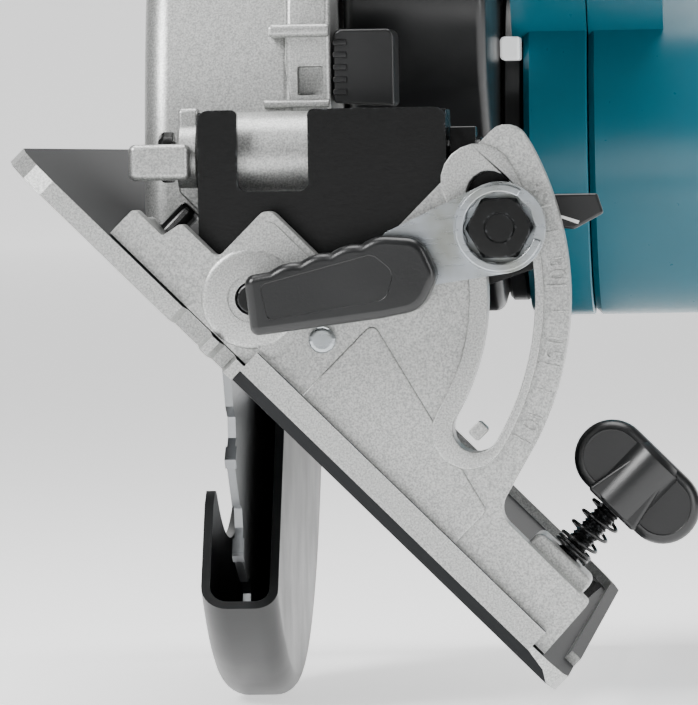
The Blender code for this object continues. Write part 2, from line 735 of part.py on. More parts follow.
def gear(name, teeth, centre, low, high, bore, body):
    """A spur gear. Its teeth are cut shallow, so that the pair clears at every angle."""
    pitch_r = MODULE * teeth / 2
    tip, root = pitch_r - 0.2, pitch_r - 1.5
    outline = []
    for i in range(teeth):
        for share, radius in ((0, tip), (0.35, tip), (0.55, root), (0.8, root)):
            outline.append(on_circle(centre, radius, 360 * (i + share) / teeth))
    prism(name, outline, "X", low, high, body, "steel", [circle(centre, bore, 16)])


def on_circle(centre, radius, angle):
    return (centre[0] + radius * cos(radians(angle)), centre[1] + radius * sin(radians(angle)))


def rotor_parts():
    shaft = [(14.6, 0), (14.6, 2.4), (31, 2.4), (31, 3.6), (107, 3.6), (107, 0)]
    turned("motor_shaft", shaft, "X", MOTOR, "rotor", "steel", 14)
    gear("pinion_gear", PINION_TEETH, MOTOR, 17, 28, 2.7, "rotor")
    ring("rotor_core", "X", MOTOR, 64, 94, 3.9, 20, "rotor", "steel", 24)
    fan = [circle(MOTOR, 3.9, 14)]
    blades = []
    for i in range(9):
        a = 40 * i
        blades += [on_circle(MOTOR, 30, a), on_circle(MOTOR, 30, a + 12), on_circle(MOTOR, 14, a + 26), on_circle(MOTOR, 14, a + 32)]
    prism("cooling_fan", blades, "X", 51, 58, "rotor", "black_plastic", fan)


# ---------------------------------------------------------------- case and gears


def blade_case():
    """The die-cast upper guard, with the pivot barrel in front and the gear flange on its right."""
    upper = arc(ARBOR, CASE_R, 0, 180, 36)
    upper = [p for p in upper]
    shell = upper + [(ARBOR_Y - CASE_R, CASE_BOTTOM), (ARBOR_Y + CASE_R, CASE_BOTTOM)]
    case = prism("blade_case", shell, "X", CASE_LEFT, CASE_RIGHT, "saw", "cast")
    inner = CASE_R - CASE_WALL
    hollow = arc(ARBOR, inner, 0, 180, 36) + [(ARBOR_Y - inner, 0), (ARBOR_Y + inner, 0)]
    access = circle(ARBOR, 34, 28)
    flange = hull(circle(MOTOR, GEARCASE_R, 28) + circle(ARBOR, BOSS_R + 0.6, 28))
    nose = rounded([(38, 20), (37, 50), (40, 62, 8), (74, 70, 8), (100, 54), (130, 40), (130, 14), (60, 16)])
    boss = circle(ARBOR, BOSS_R, 32)
    neck = rounded([(26, 20.2, 2), (62, 20.2), (62, 34), (26, 34, 2)])
    barrel = circle(PIVOT, BARREL_R, 24)
    clamp = circle(CLAMP, 7.5, 16)
    left, right = BRACKET_LEFT + BRACKET_THICK + 0.4, BRACKET_RIGHT - BRACKET_THICK - 0.4
    join(
        case,
        prism("gear_flange", flange, "X", CASE_RIGHT - 1, 14, "saw", "cast"),
        prism("nose_block", nose, "X", CASE_RIGHT - 1.5, 13.3, "saw", "cast"),
        prism("barrel_neck", neck, "X", left + 0.1, 12.9, "saw", "cast"),
        prism("neck_web", box((24, 21.5), (46, 31.5)), "X", 10, right - 0.2, "saw", "cast"),
        prism("barrel", barrel, "X", left, right, "saw", "cast"),
        prism("clamp_stub", clamp, "X", CASE_RIGHT - 1.2, GUIDE_X - GAP, "saw", "cast"),
    )
    cut(
        case,
        prism("case_hollow", hollow, "X", CASE_LEFT + 3.3, CASE_RIGHT - 3, "saw", "cast"),
        prism("wrench_access", access, "X", CASE_LEFT - 1, CASE_LEFT + 4, "saw", "cast"),
    )
    join(case, prism("arbor_boss", boss, "X", -1.5, CASE_RIGHT + 1, "saw", "cast"))
    slot = sector(ARBOR, 64.6, 73.4, 188, 312, 20)
    cut(
        case,
        prism("lever_slot", slot, "X", CASE_RIGHT - 4, CASE_RIGHT + 3, "saw", "cast"),
        prism("bearing_seat", circle(ARBOR, 16.3, 28), "X", -2, 10.3, "saw", "cast"),
        prism("spindle_bore", circle(ARBOR, 8.6, 20), "X", 9, 15, "saw", "cast"),
        prism("pivot_bore", circle(PIVOT, PIVOT_BOLT_R + GAP, 16), "X", left - 1, right + 1, "saw", "cast"),
        prism("clamp_bore", circle(CLAMP, BOLT_R + GAP, 16), "X", 4.2, GUIDE_X + 1, "saw", "cast"),
        prism("nose_pocket", box((30, 38), (42, 44)), "X", 7.4, 11.9, "saw", "cast"),
    )
    ring("spindle_bearing", "X", ARBOR, -1.2, 10.0, 8.2, 16, "saw", "steel", 28)


def gear_housing():
    """The black gear case between the blade case and the motor, with a lobe for the front grip."""
    start = 14.3
    outline = hull(circle(MOTOR, GEARCASE_R, 32) + circle(LOBE, LOBE_R, 24) + circle(ARBOR, BOSS_R + 0.6, 24))
    housing = prism("gear_housing", outline, "X", start, GEARCASE_END, "saw", "black_plastic")
    room = hull(circle(ARBOR, MODULE * GEAR_TEETH / 2 + 0.6, 28) + circle(MOTOR, 8, 16))
    cut(
        housing,
        prism("gear_room", room, "X", start - 1, 30, "saw", "black_plastic"),
        prism("front_seat", circle(MOTOR, 9.7, 20), "X", 29, 39.3, "saw", "black_plastic"),
        prism("shaft_bore", circle(MOTOR, 4.5, 14), "X", 39, GEARCASE_END + 1, "saw", "black_plastic"),
        prism("rear_seat", circle(ARBOR, 11.2, 20), "X", 29, 41, "saw", "black_plastic"),
        prism("lock_bore", circle((19.5, 44), 3.4, 12), "Y", 55, 74, "saw", "black_plastic"),
    )
    ring("motor_bearing_front", "X", MOTOR, 32, 39, 3.9, 9.5, "saw", "steel")
    ring("spindle_bearing_rear", "X", ARBOR, 31, 40, 7.6, 11, "saw", "steel")
    bore = circle(MOTOR, 12, 20)
    prism("motor_flange", circle(MOTOR, 33.4, 32), "X", GEARCASE_END + GAP, HOUSING_START - GAP, "saw", "black_plastic", [bore])
    grip_axis = Vector((0, -0.36, 0.933))
    grip = front_grip(grip_axis)
    cut(grip, prism("grip_seat", circle(LOBE, LOBE_R + GAP, 24), "X", 0, 60, "saw", "black_plastic"))


def front_grip(axis):
    """The bulb that the free hand holds, leaning forward from the top of the lobe."""
    profile = [(0, 0), (0, 13.5), (8, 13.5), (14, 11.5), (24, 11), (36, 14), (50, 16.5), (62, 16), (71, 10.5), (74, 0)]
    mesh = turned_mesh("front_grip", profile, "Z", (0, 0), 24)
    turn = Vector((0, 0, 1)).rotation_difference(axis)
    base = Vector((28.3, LOBE_Y, LOBE_Z)) + axis * (LOBE_R - 4)
    for vertex in mesh.vertices:
        vertex.co = turn @ vertex.co + base
    return link("front_grip", mesh, "saw", "rubber", 50)


def shaft_lock():
    """The button in front of the gear case: it pushes a pin towards the spindle gear."""
    outline = rounded([(13.6, 37, 1), (25.6, 36.2, 1), (25.6, 51.3, 2), (13.6, 51.3, 2)])
    button = prism("shaft_lock", outline, "Y", 38, 55, "shaft_lock", "black_plastic")
    join(button, prism("lock_pin", circle((19.5, 44), 3, 12), "Y", 54, 68, "shaft_lock", "black_plastic"))


# ---------------------------------------------------------------- clamshell, handle, motor


def handle_outlines():
    """The handle loop seen from the side, and its finger opening."""
    outer = rounded(
        [
            (132, 44),
            (104, 74, 8),
            (90, 132, 14),
            (98, 166, 14),
            (124, 172, 16),
            (172, 160, 20),
            (226, 138, 18),
            (256, 110, 18),
            (262, 58),
            (180, 58),
            (170, 40),
        ]
    )
    opening = rounded(
        [
            (130, 92, 9),
            (123, 126, 9),
            (134, 146, 9),
            (172, 137, 14),
            (214, 120, 10),
            (235, 100, 8),
            (237, 79, 7),
            (196, 80, 10),
            (170, 77, 8),
        ]
    )
    return outer, opening


def housing():
    """The clamshell: two halves that meet at the middle of the handle."""
    outer, opening = handle_outlines()
    barrel = circle(MOTOR, BARREL_HOUSING_R, TURNS)
    half = HANDLE_WIDTH / 2
    dock = box((186, 57), (PACK_FRONT + DOCK_LENGTH - 7, 76))
    seam = GAP / 2
    room = circle(MOTOR, BARREL_HOUSING_R - HOUSING_WALL, TURNS)
    sides = (
        ("housing_right", HOUSING_START, SEAM_X - seam, SEAM_X - half, SEAM_X - seam),
        ("housing_left", SEAM_X + seam, HOUSING_END, SEAM_X + seam, SEAM_X + half),
    )
    for name, start, end, grip_start, grip_end in sides:
        shell = prism(name, outer, "X", grip_start, grip_end, "saw", "teal", [opening])
        join(shell, prism(name + "_barrel", barrel, "X", start + 0.02, end - 0.02, "saw", "teal"))
        if name == "housing_left":
            join(shell, prism("dock", dock, "X", start + 0.04, end - 0.1, "saw", "teal"))
        low, high = (start + 3, end + 1) if start == HOUSING_START else (start - 1, end - 3)
        cut(shell, prism(name + "_room", room, "X", low, high, "saw", "teal"))
        cut(shell, prism(name + "_trigger_room", box((128, 130), (154, 157)), "X", SEAM_X - 5.6, SEAM_X + 5.6, "saw", "teal"))
        bore = circle((113, 150), 5, 16)
        cut(shell, prism(name + "_lock_bore", bore, "X", SEAM_X - 20, SEAM_X + 20, "saw", "teal"))
        if name == "housing_right":
            cut(shell, prism("shaft_opening", circle(MOTOR, 12, 20), "X", start - 1, start + 4, "saw", "teal"))
            cut(shell, prism("flange_room", circle(MOTOR, 34, 32), "X", start - 5, start, "saw", "teal"))
            continue
        wide, narrow = 22.6, 19.0
        tee = [
            (PACK_X - narrow, 50),
            (PACK_X + narrow, 50),
            (PACK_X + narrow, 61.6),
            (PACK_X + wide, 61.6),
            (PACK_X + wide, 71.6),
            (PACK_X - wide, 71.6),
            (PACK_X - wide, 61.6),
            (PACK_X - narrow, 61.6),
        ]
        cut(shell, prism("dock_channel", tee, "Y", PACK_FRONT + 2, PACK_FRONT + DOCK_LENGTH + 5, "saw", "teal"))
        seat = circle(MOTOR, 11.3, 20)
        cut(shell, prism("end_opening", seat, "X", end - 4, end - 1.2, "saw", "teal"))
        for i in range(5):
            y = MOTOR_Y - 20 + 10 * i
            vent = rounded([(y - 2, MOTOR_Z + 14, 1.5), (y + 2, MOTOR_Z + 14, 1.5), (y + 2, MOTOR_Z + 26, 1.5), (y - 2, MOTOR_Z + 26, 1.5)], 2)
            cut(shell, prism(f"vent_{i}", vent, "X", end - 4, end + 1, "saw", "teal"))


def housing_contents():
    ring("stator", "X", MOTOR, 62, 96, 20.6, BARREL_HOUSING_R - HOUSING_WALL - 0.4, "saw", "copper", 32)
    ring("motor_bearing_rear", "X", MOTOR, 103.4, 110.4, 3.9, 11, "saw", "steel")
    lamp = rounded([(HOUSING_START - 4.3, 45.6, 0.8), (HOUSING_START - GAP, 45.6), (HOUSING_START - GAP, 50.4), (HOUSING_START - 4.3, 50.4, 0.8)], 2)
    prism("led_lamp", lamp, "Y", 112, 123, "saw", "lens")
    spots = ((MOTOR_Y - 24, MOTOR_Z - 20), (MOTOR_Y + 24, MOTOR_Z - 20), (110, 120), (243, 120))
    for number, place in enumerate(spots, 1):
        at = HOUSING_END if place[1] < 60 else SEAM_X + HANDLE_WIDTH / 2
        profile = [(at + GAP, 0), (at + GAP, 3.2), (at + 1.8, 3), (at + 1.8, 0)]
        turned(f"housing_screw_{number}", profile, "X", place, "saw", "black_paint", 12)
    outer = rounded([(164, 163.5, 6), (232, 137.5, 6), (222, 111.5, 6), (164, 135.2, 6)])
    inner = rounded([(160, 165.2), (236, 134.2), (228, 113.2), (160, 141.6)])
    width = HANDLE_WIDTH / 2
    return outer, inner, width


def handle_pads():
    """Soft pads on both sides of the handle bar."""
    outline = rounded([(166, 158, 5), (222, 136, 6), (212, 125.5, 6), (166, 143, 5)])
    half = HANDLE_WIDTH / 2
    for name, start in (("handle_pad_right", SEAM_X - half - 1.8), ("handle_pad_left", SEAM_X + half + GAP)):
        prism(name, outline, "X", start, start + 1.5, "saw", "rubber")


def switches():
    outline = rounded([(129, 149), (129, 128, 2), (138, 122, 6), (153, 126, 3), (153, 149)])
    prism("trigger", outline, "X", SEAM_X - 5, SEAM_X + 5, "trigger", "black_plastic")
    button = circle((113, 150), 4.5, 16)
    reach = HANDLE_WIDTH / 2 + 3
    prism("lock_off_button", button, "X", SEAM_X - reach, SEAM_X + reach, "lock_off", "black_plastic")


def battery():
    """The pack hangs from the dock by a T-shaped rail and slides off to the rear."""
    half = PACK_WIDTH / 2
    outline = rounded(
        [
            (PACK_X - half, PACK_BOTTOM, 6),
            (PACK_X + half, PACK_BOTTOM, 6),
            (PACK_X + half, PACK_TOP, 5),
            (PACK_X - half, PACK_TOP, 5),
        ]
    )
    end = PACK_FRONT + PACK_LENGTH
    pack = prism("battery_pack", outline, "Y", PACK_FRONT, end, "battery", "black_plastic")
    neck, top = 18.5, 22.1
    rail = [
        (PACK_X - neck, PACK_TOP - 1),
        (PACK_X + neck, PACK_TOP - 1),
        (PACK_X + neck, 62),
        (PACK_X + top, 62),
        (PACK_X + top, 71),
        (PACK_X - top, 71),
        (PACK_X - top, 62),
        (PACK_X - neck, 62),
    ]
    join(pack, prism("pack_rail", rail, "Y", PACK_FRONT + 6, end - 15, "battery", "black_plastic"))
    pocket = box((PACK_X - 12.6, end - 13.5), (PACK_X + 12.6, end - 2.4))
    cut(pack, prism("latch_pocket", pocket, "Z", 45, 60, "battery", "black_plastic"))
    button = rounded([(PACK_X - 12, end - 13, 2), (PACK_X + 12, end - 13, 2), (PACK_X + 12, end - 3, 2), (PACK_X - 12, end - 3, 2)])
    prism("battery_latch", button, "Z", 50, 60.5, "latch", "black_paint")


def depth_clamp():
    """The bolt through the depth guide and the lever that tightens it."""
    bolt = circle(CLAMP, BOLT_R - 0.1, 14)
    prism("depth_clamp_bolt", bolt, "X", 4.6, 24, "depth_lever", "plated")
    start = GUIDE_X + GUIDE_THICK + GAP
    hub = circle(CLAMP, 8, 20)
    hole = circle(CLAMP, BOLT_R + 0.2, 14)
    lever = prism("depth_lever", hub, "X", start, start + 7, "depth_lever", "black_plastic", [hole])
    arm = [place_from(CLAMP, a, b, 62) for a, b in rounded([(5.5, -5), (52, -4.2, 4), (52, 4.2, 4), (5.5, 5)])]
    join(lever, prism("depth_lever_arm", arm, "X", start + 2, start + 6.8, "depth_lever", "black_plastic"))


def place_from(centre, along, across, angle):
    c, s = cos(radians(angle)), sin(radians(angle))
    return (centre[0] + along * c - across * s, centre[1] + along * s + across * c)


def stand_on_floor():
    """Moves the whole saw, so that its lowest point is at the origin's height and its box is centred."""
    bpy.context.view_layer.update()
    graph = bpy.context.evaluated_depsgraph_get()
    low, high = Vector((1e9,) * 3), Vector((-1e9,) * 3)
    for obj in bpy.context.scene.objects:
        if obj.hide_render or obj.type == "EMPTY":
            continue
        shape = obj.evaluated_get(graph)
        for corner in shape.to_mesh().vertices:
            place = shape.matrix_world @ corner.co
            low = Vector(map(min, low, place))
            high = Vector(map(max, high, place))
        shape.to_mesh_clear()
    middle = (low + high) / 2
    bodies["saw"][0].location = (-middle.x, -middle.y, -low.z)


base_plate()
quadrant()
base_fittings()
fence_clamp()
front_bracket()
tilt_fittings()
depth_guide()
positive_stop()
bevel_lever()
lower_guard()
blade()
spindle_parts()
rotor_parts()
blade_case()
gear_housing()
shaft_lock()
housing()
housing_contents()
handle_pads()
switches()
battery()
depth_clamp()
stand_on_floor()
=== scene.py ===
# %% [markdown]
# # A cordless circular saw, tipped to its 45 degree bevel
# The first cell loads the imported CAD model. Its nodes are the frame for all that follows:
# some only get a finish, and others are replaced by a piece with the shape of the real one.

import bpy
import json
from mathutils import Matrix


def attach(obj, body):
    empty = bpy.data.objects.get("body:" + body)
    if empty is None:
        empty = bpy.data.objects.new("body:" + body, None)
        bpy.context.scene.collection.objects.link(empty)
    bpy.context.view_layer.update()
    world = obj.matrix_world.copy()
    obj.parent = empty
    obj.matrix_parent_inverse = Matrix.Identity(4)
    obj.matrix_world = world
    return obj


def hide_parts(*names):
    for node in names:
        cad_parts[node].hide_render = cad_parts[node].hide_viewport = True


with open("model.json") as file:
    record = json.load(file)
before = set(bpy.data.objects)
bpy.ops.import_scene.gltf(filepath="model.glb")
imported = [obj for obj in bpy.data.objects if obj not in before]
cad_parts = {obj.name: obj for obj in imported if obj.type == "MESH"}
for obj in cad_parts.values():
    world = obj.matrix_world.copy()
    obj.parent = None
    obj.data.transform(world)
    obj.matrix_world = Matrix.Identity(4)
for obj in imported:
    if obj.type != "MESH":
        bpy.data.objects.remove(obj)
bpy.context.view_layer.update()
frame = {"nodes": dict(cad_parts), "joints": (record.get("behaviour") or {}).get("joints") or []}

import json
from math import atan2, cos, pi, radians, sin, sqrt

import bmesh
import bpy
from mathutils import Matrix, Vector
from mathutils.geometry import tessellate_polygon

MM = 0.001
NODES = frame["nodes"]
PIVOT = Vector(next(j["pos_m"] for j in frame["joints"] if j["name"] == "bevel_tilt"))
print("bevel pivot at", [round(c, 4) for c in PIVOT])

# %% [markdown]
# The saw is drawn in millimetres in two frames that share the bevel pivot. In the upright one X
# points to the motor, Y to the rear and Z up the blade. The base has its own, turned 45 degrees,
# so its plate and quadrant are drawn level, as they were cast, and then tipped by a matrix.

# %% Frames
BEVEL = radians(45)
upright = Matrix.Translation(PIVOT) @ Matrix.Scale(MM, 4)
tipped = Matrix.Translation(PIVOT) @ Matrix.Rotation(BEVEL, 4, "Y") @ Matrix.Scale(MM, 4)
ARBOR = (138.0, 15.0)
MOTOR = (154.26, 29.64)
BOLT = (47.55, 12.65)
FENCE = (76.7, 17.0)
DEPTH = (24.0, 27.0)

# %% [markdown]
# Every colour is an sRGB hex value. Blender's sockets take linear light, so one function turns
# them. One more function adds a shader node, sets it and links it.

# %% Colour and node helpers


def linear(code, alpha=1.0):
    """An sRGB hex colour as linear RGBA."""
    channels = [int(code[i : i + 2], 16) / 255 for i in (0, 2, 4)]
    return [c / 12.92 if c <= 0.04045 else ((c + 0.055) / 1.055) ** 2.4 for c in channels] + [alpha]


def add(material, kind, links=None, **settings):
    """Adds a node, sets its properties or sockets, and links its inputs to other nodes' outputs."""
    tree = material.node_tree
    node = tree.nodes.new(kind)
    for name, value in settings.items():
        if hasattr(node, name):
            setattr(node, name, value)
        else:
            node.inputs[name.replace("_", " ")].default_value = value
    for socket, output in (links or {}).items():
        tree.links.new(output, node.inputs[socket])
    return node


def new_material(name, colour, roughness, metallic=0.0, **sockets):
    """A material whose Principled shader has its even values set on its own sockets."""
    material = bpy.data.materials.new(name)
    material.use_nodes = True
    shader = material.node_tree.nodes["Principled BSDF"]
    shader.inputs["Base Color"].default_value = linear(colour)
    shader.inputs["Roughness"].default_value = roughness
    shader.inputs["Metallic"].default_value = metallic
    for socket, value in sockets.items():
        shader.inputs[socket.replace("_", " ")].default_value = value
    return material, shader


def ramp(node, low, high, start=0.0, end=1.0):
    """Sets a colour ramp's two colours, and where they stand."""
    first, last = node.color_ramp.elements
    first.position, last.position = start, end
    first.color, last.color = linear(low), linear(high)


def feed(material, shader, **outputs):
    """Links the shader's sockets to the outputs that drive them."""
    for socket, output in outputs.items():
        material.node_tree.links.new(output, shader.inputs[socket.replace("_", " ")])


def per_mm(size):
    """The noise scale that gives features about this many millimetres across."""
    return 1 / (size * MM)


# %% [markdown]
# ## Finishes
# The base, its quadrant and the blade case are aluminium die castings under silver lacquer. The
# lacquer holds metal flake, so it glints in fine grains, and it rounds over a slightly pebbled
# cast skin. Flake of 0.2 mm would be too fine to show, so it is drawn at 0.35 mm.

# %% Silver lacquer on die-cast aluminium
silver_lacquer, shader = new_material("silver_lacquer_on_casting", "B4B5B3", 0.4, 0.75)
place = add(silver_lacquer, "ShaderNodeTexCoord").outputs["Object"]
flake = add(
    silver_lacquer, "ShaderNodeTexNoise", {"Vector": place}, Scale=per_mm(0.35), Detail=2.0, Roughness=0.6
)
tint = add(silver_lacquer, "ShaderNodeValToRGB", {"Fac": flake.outputs["Fac"]})
ramp(tint, "9A9B9A", "C6C7C5", 0.36, 0.64)
skin = add(
    silver_lacquer, "ShaderNodeTexNoise", {"Vector": place}, Scale=per_mm(1.2), Detail=4.0, Roughness=0.55
)
gloss = add(silver_lacquer, "ShaderNodeMapRange", {"Value": skin.outputs["Fac"]}, To_Min=0.34, To_Max=0.44)
bump = add(
    silver_lacquer, "ShaderNodeBump", {"Height": flake.outputs["Fac"]}, Strength=0.12, Distance=0.00012
)
skin_bump = add(
    silver_lacquer, "ShaderNodeBump", {"Height": skin.outputs["Fac"], "Normal": bump.outputs["Normal"]},
    Strength=0.16, Distance=0.0001,
)
feed(
    silver_lacquer, shader, Base_Color=tint.outputs["Color"], Roughness=gloss.outputs["Result"],
    Normal=skin_bump.outputs["Normal"]
)

# %% [markdown]
# Zinc plate on pressed steel is brighter and cooler than the lacquer, with faint streaks from the
# rolling and a yellow passivation tint in patches.

# %% Zinc-plated steel
zinc_plate, shader = new_material("zinc_plated_steel", "C9CBCA", 0.26, 1.0)
place = add(zinc_plate, "ShaderNodeTexCoord").outputs["Object"]
stretch = add(zinc_plate, "ShaderNodeMapping", {"Vector": place}, Scale=(0.15, 1.0, 1.0))
streak = add(
    zinc_plate, "ShaderNodeTexNoise", {"Vector": stretch.outputs["Vector"]}, Scale=per_mm(0.8), Detail=5.0
)
patch = add(zinc_plate, "ShaderNodeTexNoise", {"Vector": place}, Scale=per_mm(7), Detail=3.0)
tint = add(zinc_plate, "ShaderNodeValToRGB", {"Fac": patch.outputs["Fac"]})
ramp(tint, "B4BAC0", "9DA09B", 0.35, 0.68)
gloss = add(zinc_plate, "ShaderNodeMapRange", {"Value": streak.outputs["Fac"]}, To_Min=0.2, To_Max=0.38)
bump = add(zinc_plate, "ShaderNodeBump", {"Height": streak.outputs["Fac"]}, Strength=0.1, Distance=0.0001)
feed(
    zinc_plate, shader, Base_Color=tint.outputs["Color"], Roughness=gloss.outputs["Result"],
    Normal=bump.outputs["Normal"]
)

# %% [markdown]
# The base is the same silver casting, but its upper face is painted near-black as a painted dark
# reflection, and the chamfer under its front edge is painted near-black as painted shade; only the front
# edge is left silver. The two are told apart by the direction each face has in the piece itself, so the
# painted dark travels with it.

# %% Base with painted shade and painted reflection
FRONT_CHAMFER = (-0.5, -0.7071, -0.5)
base_lacquer_with_painted_shade = silver_lacquer.copy()
base_lacquer_with_painted_shade.name = "silver_lacquer_with_painted_shade_and_reflection"
shader = base_lacquer_with_painted_shade.node_tree.nodes["Principled BSDF"]
facing = add(base_lacquer_with_painted_shade, "ShaderNodeTexCoord").outputs["Normal"]
# Faces turned up get a painted dark reflection, and the faces of the under chamfer get painted shade.
upward = add(base_lacquer_with_painted_shade, "ShaderNodeVectorMath", {"Vector": facing}, operation="DOT_PRODUCT")
upward.inputs[1].default_value = (sin(BEVEL), 0, cos(BEVEL))
under = add(base_lacquer_with_painted_shade, "ShaderNodeVectorMath", {"Vector": facing}, operation="DOT_PRODUCT")
under.inputs[1].default_value = FRONT_CHAMFER
painted_reflection_top = add(
    base_lacquer_with_painted_shade, "ShaderNodeMapRange", {"Value": upward.outputs["Value"]}, From_Min=0.8, From_Max=0.95
)
painted_shade_under = add(
    base_lacquer_with_painted_shade, "ShaderNodeMapRange", {"Value": under.outputs["Value"]}, From_Min=0.85, From_Max=0.95
)
both = {0: painted_reflection_top.outputs["Result"], 1: painted_shade_under.outputs["Result"]}
painted_dark_mask = add(base_lacquer_with_painted_shade, "ShaderNodeMath", both, operation="MAXIMUM")
silver = {socket: shader.inputs[socket].links[0].from_socket for socket in ("Base Color", "Roughness")}
links = {"Factor": painted_dark_mask.outputs["Value"], 6: silver["Base Color"]}
painted_dark_colour = add(base_lacquer_with_painted_shade, "ShaderNodeMix", links, data_type="RGBA")
# 111315 is the colour of the painted shade and painted reflection, laid over the silver lacquer.
painted_dark_colour.inputs[7].default_value = linear("111315")
sheen = add(base_lacquer_with_painted_shade, "ShaderNodeMix", {"Factor": painted_dark_mask.outputs["Value"], 2: silver["Roughness"]})
sheen.inputs[3].default_value = 0.45
# Where painted dark, metal and specular are turned down too, so the painted shade stays dark.
metal = add(base_lacquer_with_painted_shade, "ShaderNodeMapRange", {"Value": painted_dark_mask.outputs["Value"]}, To_Min=0.75, To_Max=0.0)
painted_dark_specular = add(base_lacquer_with_painted_shade, "ShaderNodeMapRange", {"Value": painted_dark_mask.outputs["Value"]}, To_Min=0.5, To_Max=0.06)
feed(
    base_lacquer_with_painted_shade, shader, Base_Color=painted_dark_colour.outputs[2], Roughness=sheen.outputs[0],
    Metallic=metal.outputs["Result"], Specular_IOR_Level=painted_dark_specular.outputs["Result"]
)

# %% [markdown]
# The grips, the guard and the gear case are glass-filled nylon. Its moulds are spark-eroded, which
# leaves a grain of about 0.3 mm, drawn here at 0.5 mm. Handling polishes it in patches.

# %% Black glass-filled nylon
black_nylon, shader = new_material("black_glass_filled_nylon", "17181A", 0.42, IOR=1.53)
place = add(black_nylon, "ShaderNodeTexCoord").outputs["Object"]
grain = add(
    black_nylon, "ShaderNodeTexNoise", {"Vector": place}, Scale=per_mm(0.5), Detail=3.0, Roughness=0.6
)
rub = add(black_nylon, "ShaderNodeTexNoise", {"Vector": place}, Scale=per_mm(14), Detail=3.0)
gloss = add(black_nylon, "ShaderNodeMapRange", {"Value": rub.outputs["Fac"]}, To_Min=0.24, To_Max=0.42)
tint = add(black_nylon, "ShaderNodeValToRGB", {"Fac": rub.outputs["Fac"]})
ramp(tint, "0A0B0C", "131415")
bump = add(black_nylon, "ShaderNodeBump", {"Height": grain.outputs["Fac"]}, Strength=0.14, Distance=0.0001)
feed(
    black_nylon, shader, Base_Color=tint.outputs["Color"], Roughness=gloss.outputs["Result"],
    Normal=bump.outputs["Normal"]
)

# %% [markdown]
# Brackets, bolts and nuts are steel under black lacquer or black oxide. The edges rub through to
# grey metal. Pointiness would need a fine mesh, so a Bevel node finds the edges instead: where its
# normal differs from the true one, the surface is close to a corner.

# %% Black-lacquered steel
black_steel, shader = new_material("black_lacquered_steel", "151617", 0.34, 0.2, IOR=1.5)
place = add(black_steel, "ShaderNodeTexCoord").outputs["Object"]
soft = add(black_steel, "ShaderNodeBevel", samples=4, Radius=0.0006)
true = add(black_steel, "ShaderNodeNewGeometry").outputs["Normal"]
same = add(
    black_steel, "ShaderNodeVectorMath", {0: soft.outputs["Normal"], 1: true}, operation="DOT_PRODUCT"
)
speck = add(
    black_steel, "ShaderNodeTexNoise", {"Vector": place}, Scale=per_mm(1.1), Detail=5.0, Roughness=0.7
)
edge = add(
    black_steel, "ShaderNodeMapRange", {"Value": same.outputs["Value"]}, From_Min=0.995, From_Max=0.93
)
chip = add(black_steel, "ShaderNodeMapRange", {"Value": speck.outputs["Fac"]}, From_Min=0.52, From_Max=0.66)
both = {0: edge.outputs["Result"], 1: chip.outputs["Result"]}
worn = add(black_steel, "ShaderNodeMath", both, operation="MULTIPLY", use_clamp=True)
tint = add(black_steel, "ShaderNodeMix", {"Factor": worn.outputs["Value"]}, data_type="RGBA")
tint.inputs[6].default_value, tint.inputs[7].default_value = linear("080909"), linear("55575A")
bump = add(black_steel, "ShaderNodeBump", {"Height": speck.outputs["Fac"]}, Strength=0.1, Distance=0.0001)
gloss = add(black_steel, "ShaderNodeMapRange", {"Value": speck.outputs["Fac"]}, To_Min=0.14, To_Max=0.3)
feed(
    black_steel, shader, Base_Color=tint.outputs[2], Roughness=gloss.outputs["Result"],
    Normal=bump.outputs["Normal"]
)

# %% [markdown]
# The clamshell is nylon moulded in a deep teal. It is glossier than the black parts, with a faint
# orange peel, and its colour is slightly uneven where the melt front met.

# %% Teal moulded nylon
teal_nylon, shader = new_material(
    "teal_moulded_nylon", "04788B", 0.3, IOR=1.53, Coat_Weight=0.15, Coat_Roughness=0.2
)
place = add(teal_nylon, "ShaderNodeTexCoord").outputs["Object"]
flow = add(teal_nylon, "ShaderNodeTexNoise", {"Vector": place}, Scale=per_mm(30), Detail=2.0)
tint = add(teal_nylon, "ShaderNodeValToRGB", {"Fac": flow.outputs["Fac"]})
ramp(tint, "02596B", "046A7D")
peel = add(teal_nylon, "ShaderNodeTexNoise", {"Vector": place}, Scale=per_mm(1.6), Detail=2.0)
gloss = add(teal_nylon, "ShaderNodeMapRange", {"Value": peel.outputs["Fac"]}, To_Min=0.24, To_Max=0.38)
bump = add(teal_nylon, "ShaderNodeBump", {"Height": peel.outputs["Fac"]}, Strength=0.07, Distance=0.0002)
feed(
    teal_nylon, shader, Base_Color=tint.outputs["Color"], Roughness=gloss.outputs["Result"],
    Normal=bump.outputs["Normal"]
)

# %% [markdown]
# The soft grips are thermoplastic rubber, moulded with rows of small pips. A Voronoi pattern of
# 1.6 mm cells stands for the pips. Rubber scatters light at a grazing angle, which is its sheen.

# %% Over-moulded rubber
soft_rubber, shader = new_material(
    "over_moulded_rubber", "121315", 0.62, IOR=1.5, Sheen_Weight=0.15, Sheen_Roughness=0.5
)
place = add(soft_rubber, "ShaderNodeTexCoord").outputs["Object"]
pips = add(soft_rubber, "ShaderNodeTexVoronoi", {"Vector": place}, Scale=per_mm(1.6), Randomness=0.2)
gloss = add(soft_rubber, "ShaderNodeMapRange", {"Value": pips.outputs["Distance"]}, To_Min=0.5, To_Max=0.72)
bump = add(
    soft_rubber, "ShaderNodeBump", {"Height": pips.outputs["Distance"]}, Strength=0.3, Distance=0.0003,
    invert=True
)
feed(soft_rubber, shader, Roughness=gloss.outputs["Result"], Normal=bump.outputs["Normal"])

# %% [markdown]
# The blade, shafts and flanges are bare steel. The blade's faces are ground in arcs about the
# arbor: the scratches are noise on the distance from it, 0.25 mm apart.

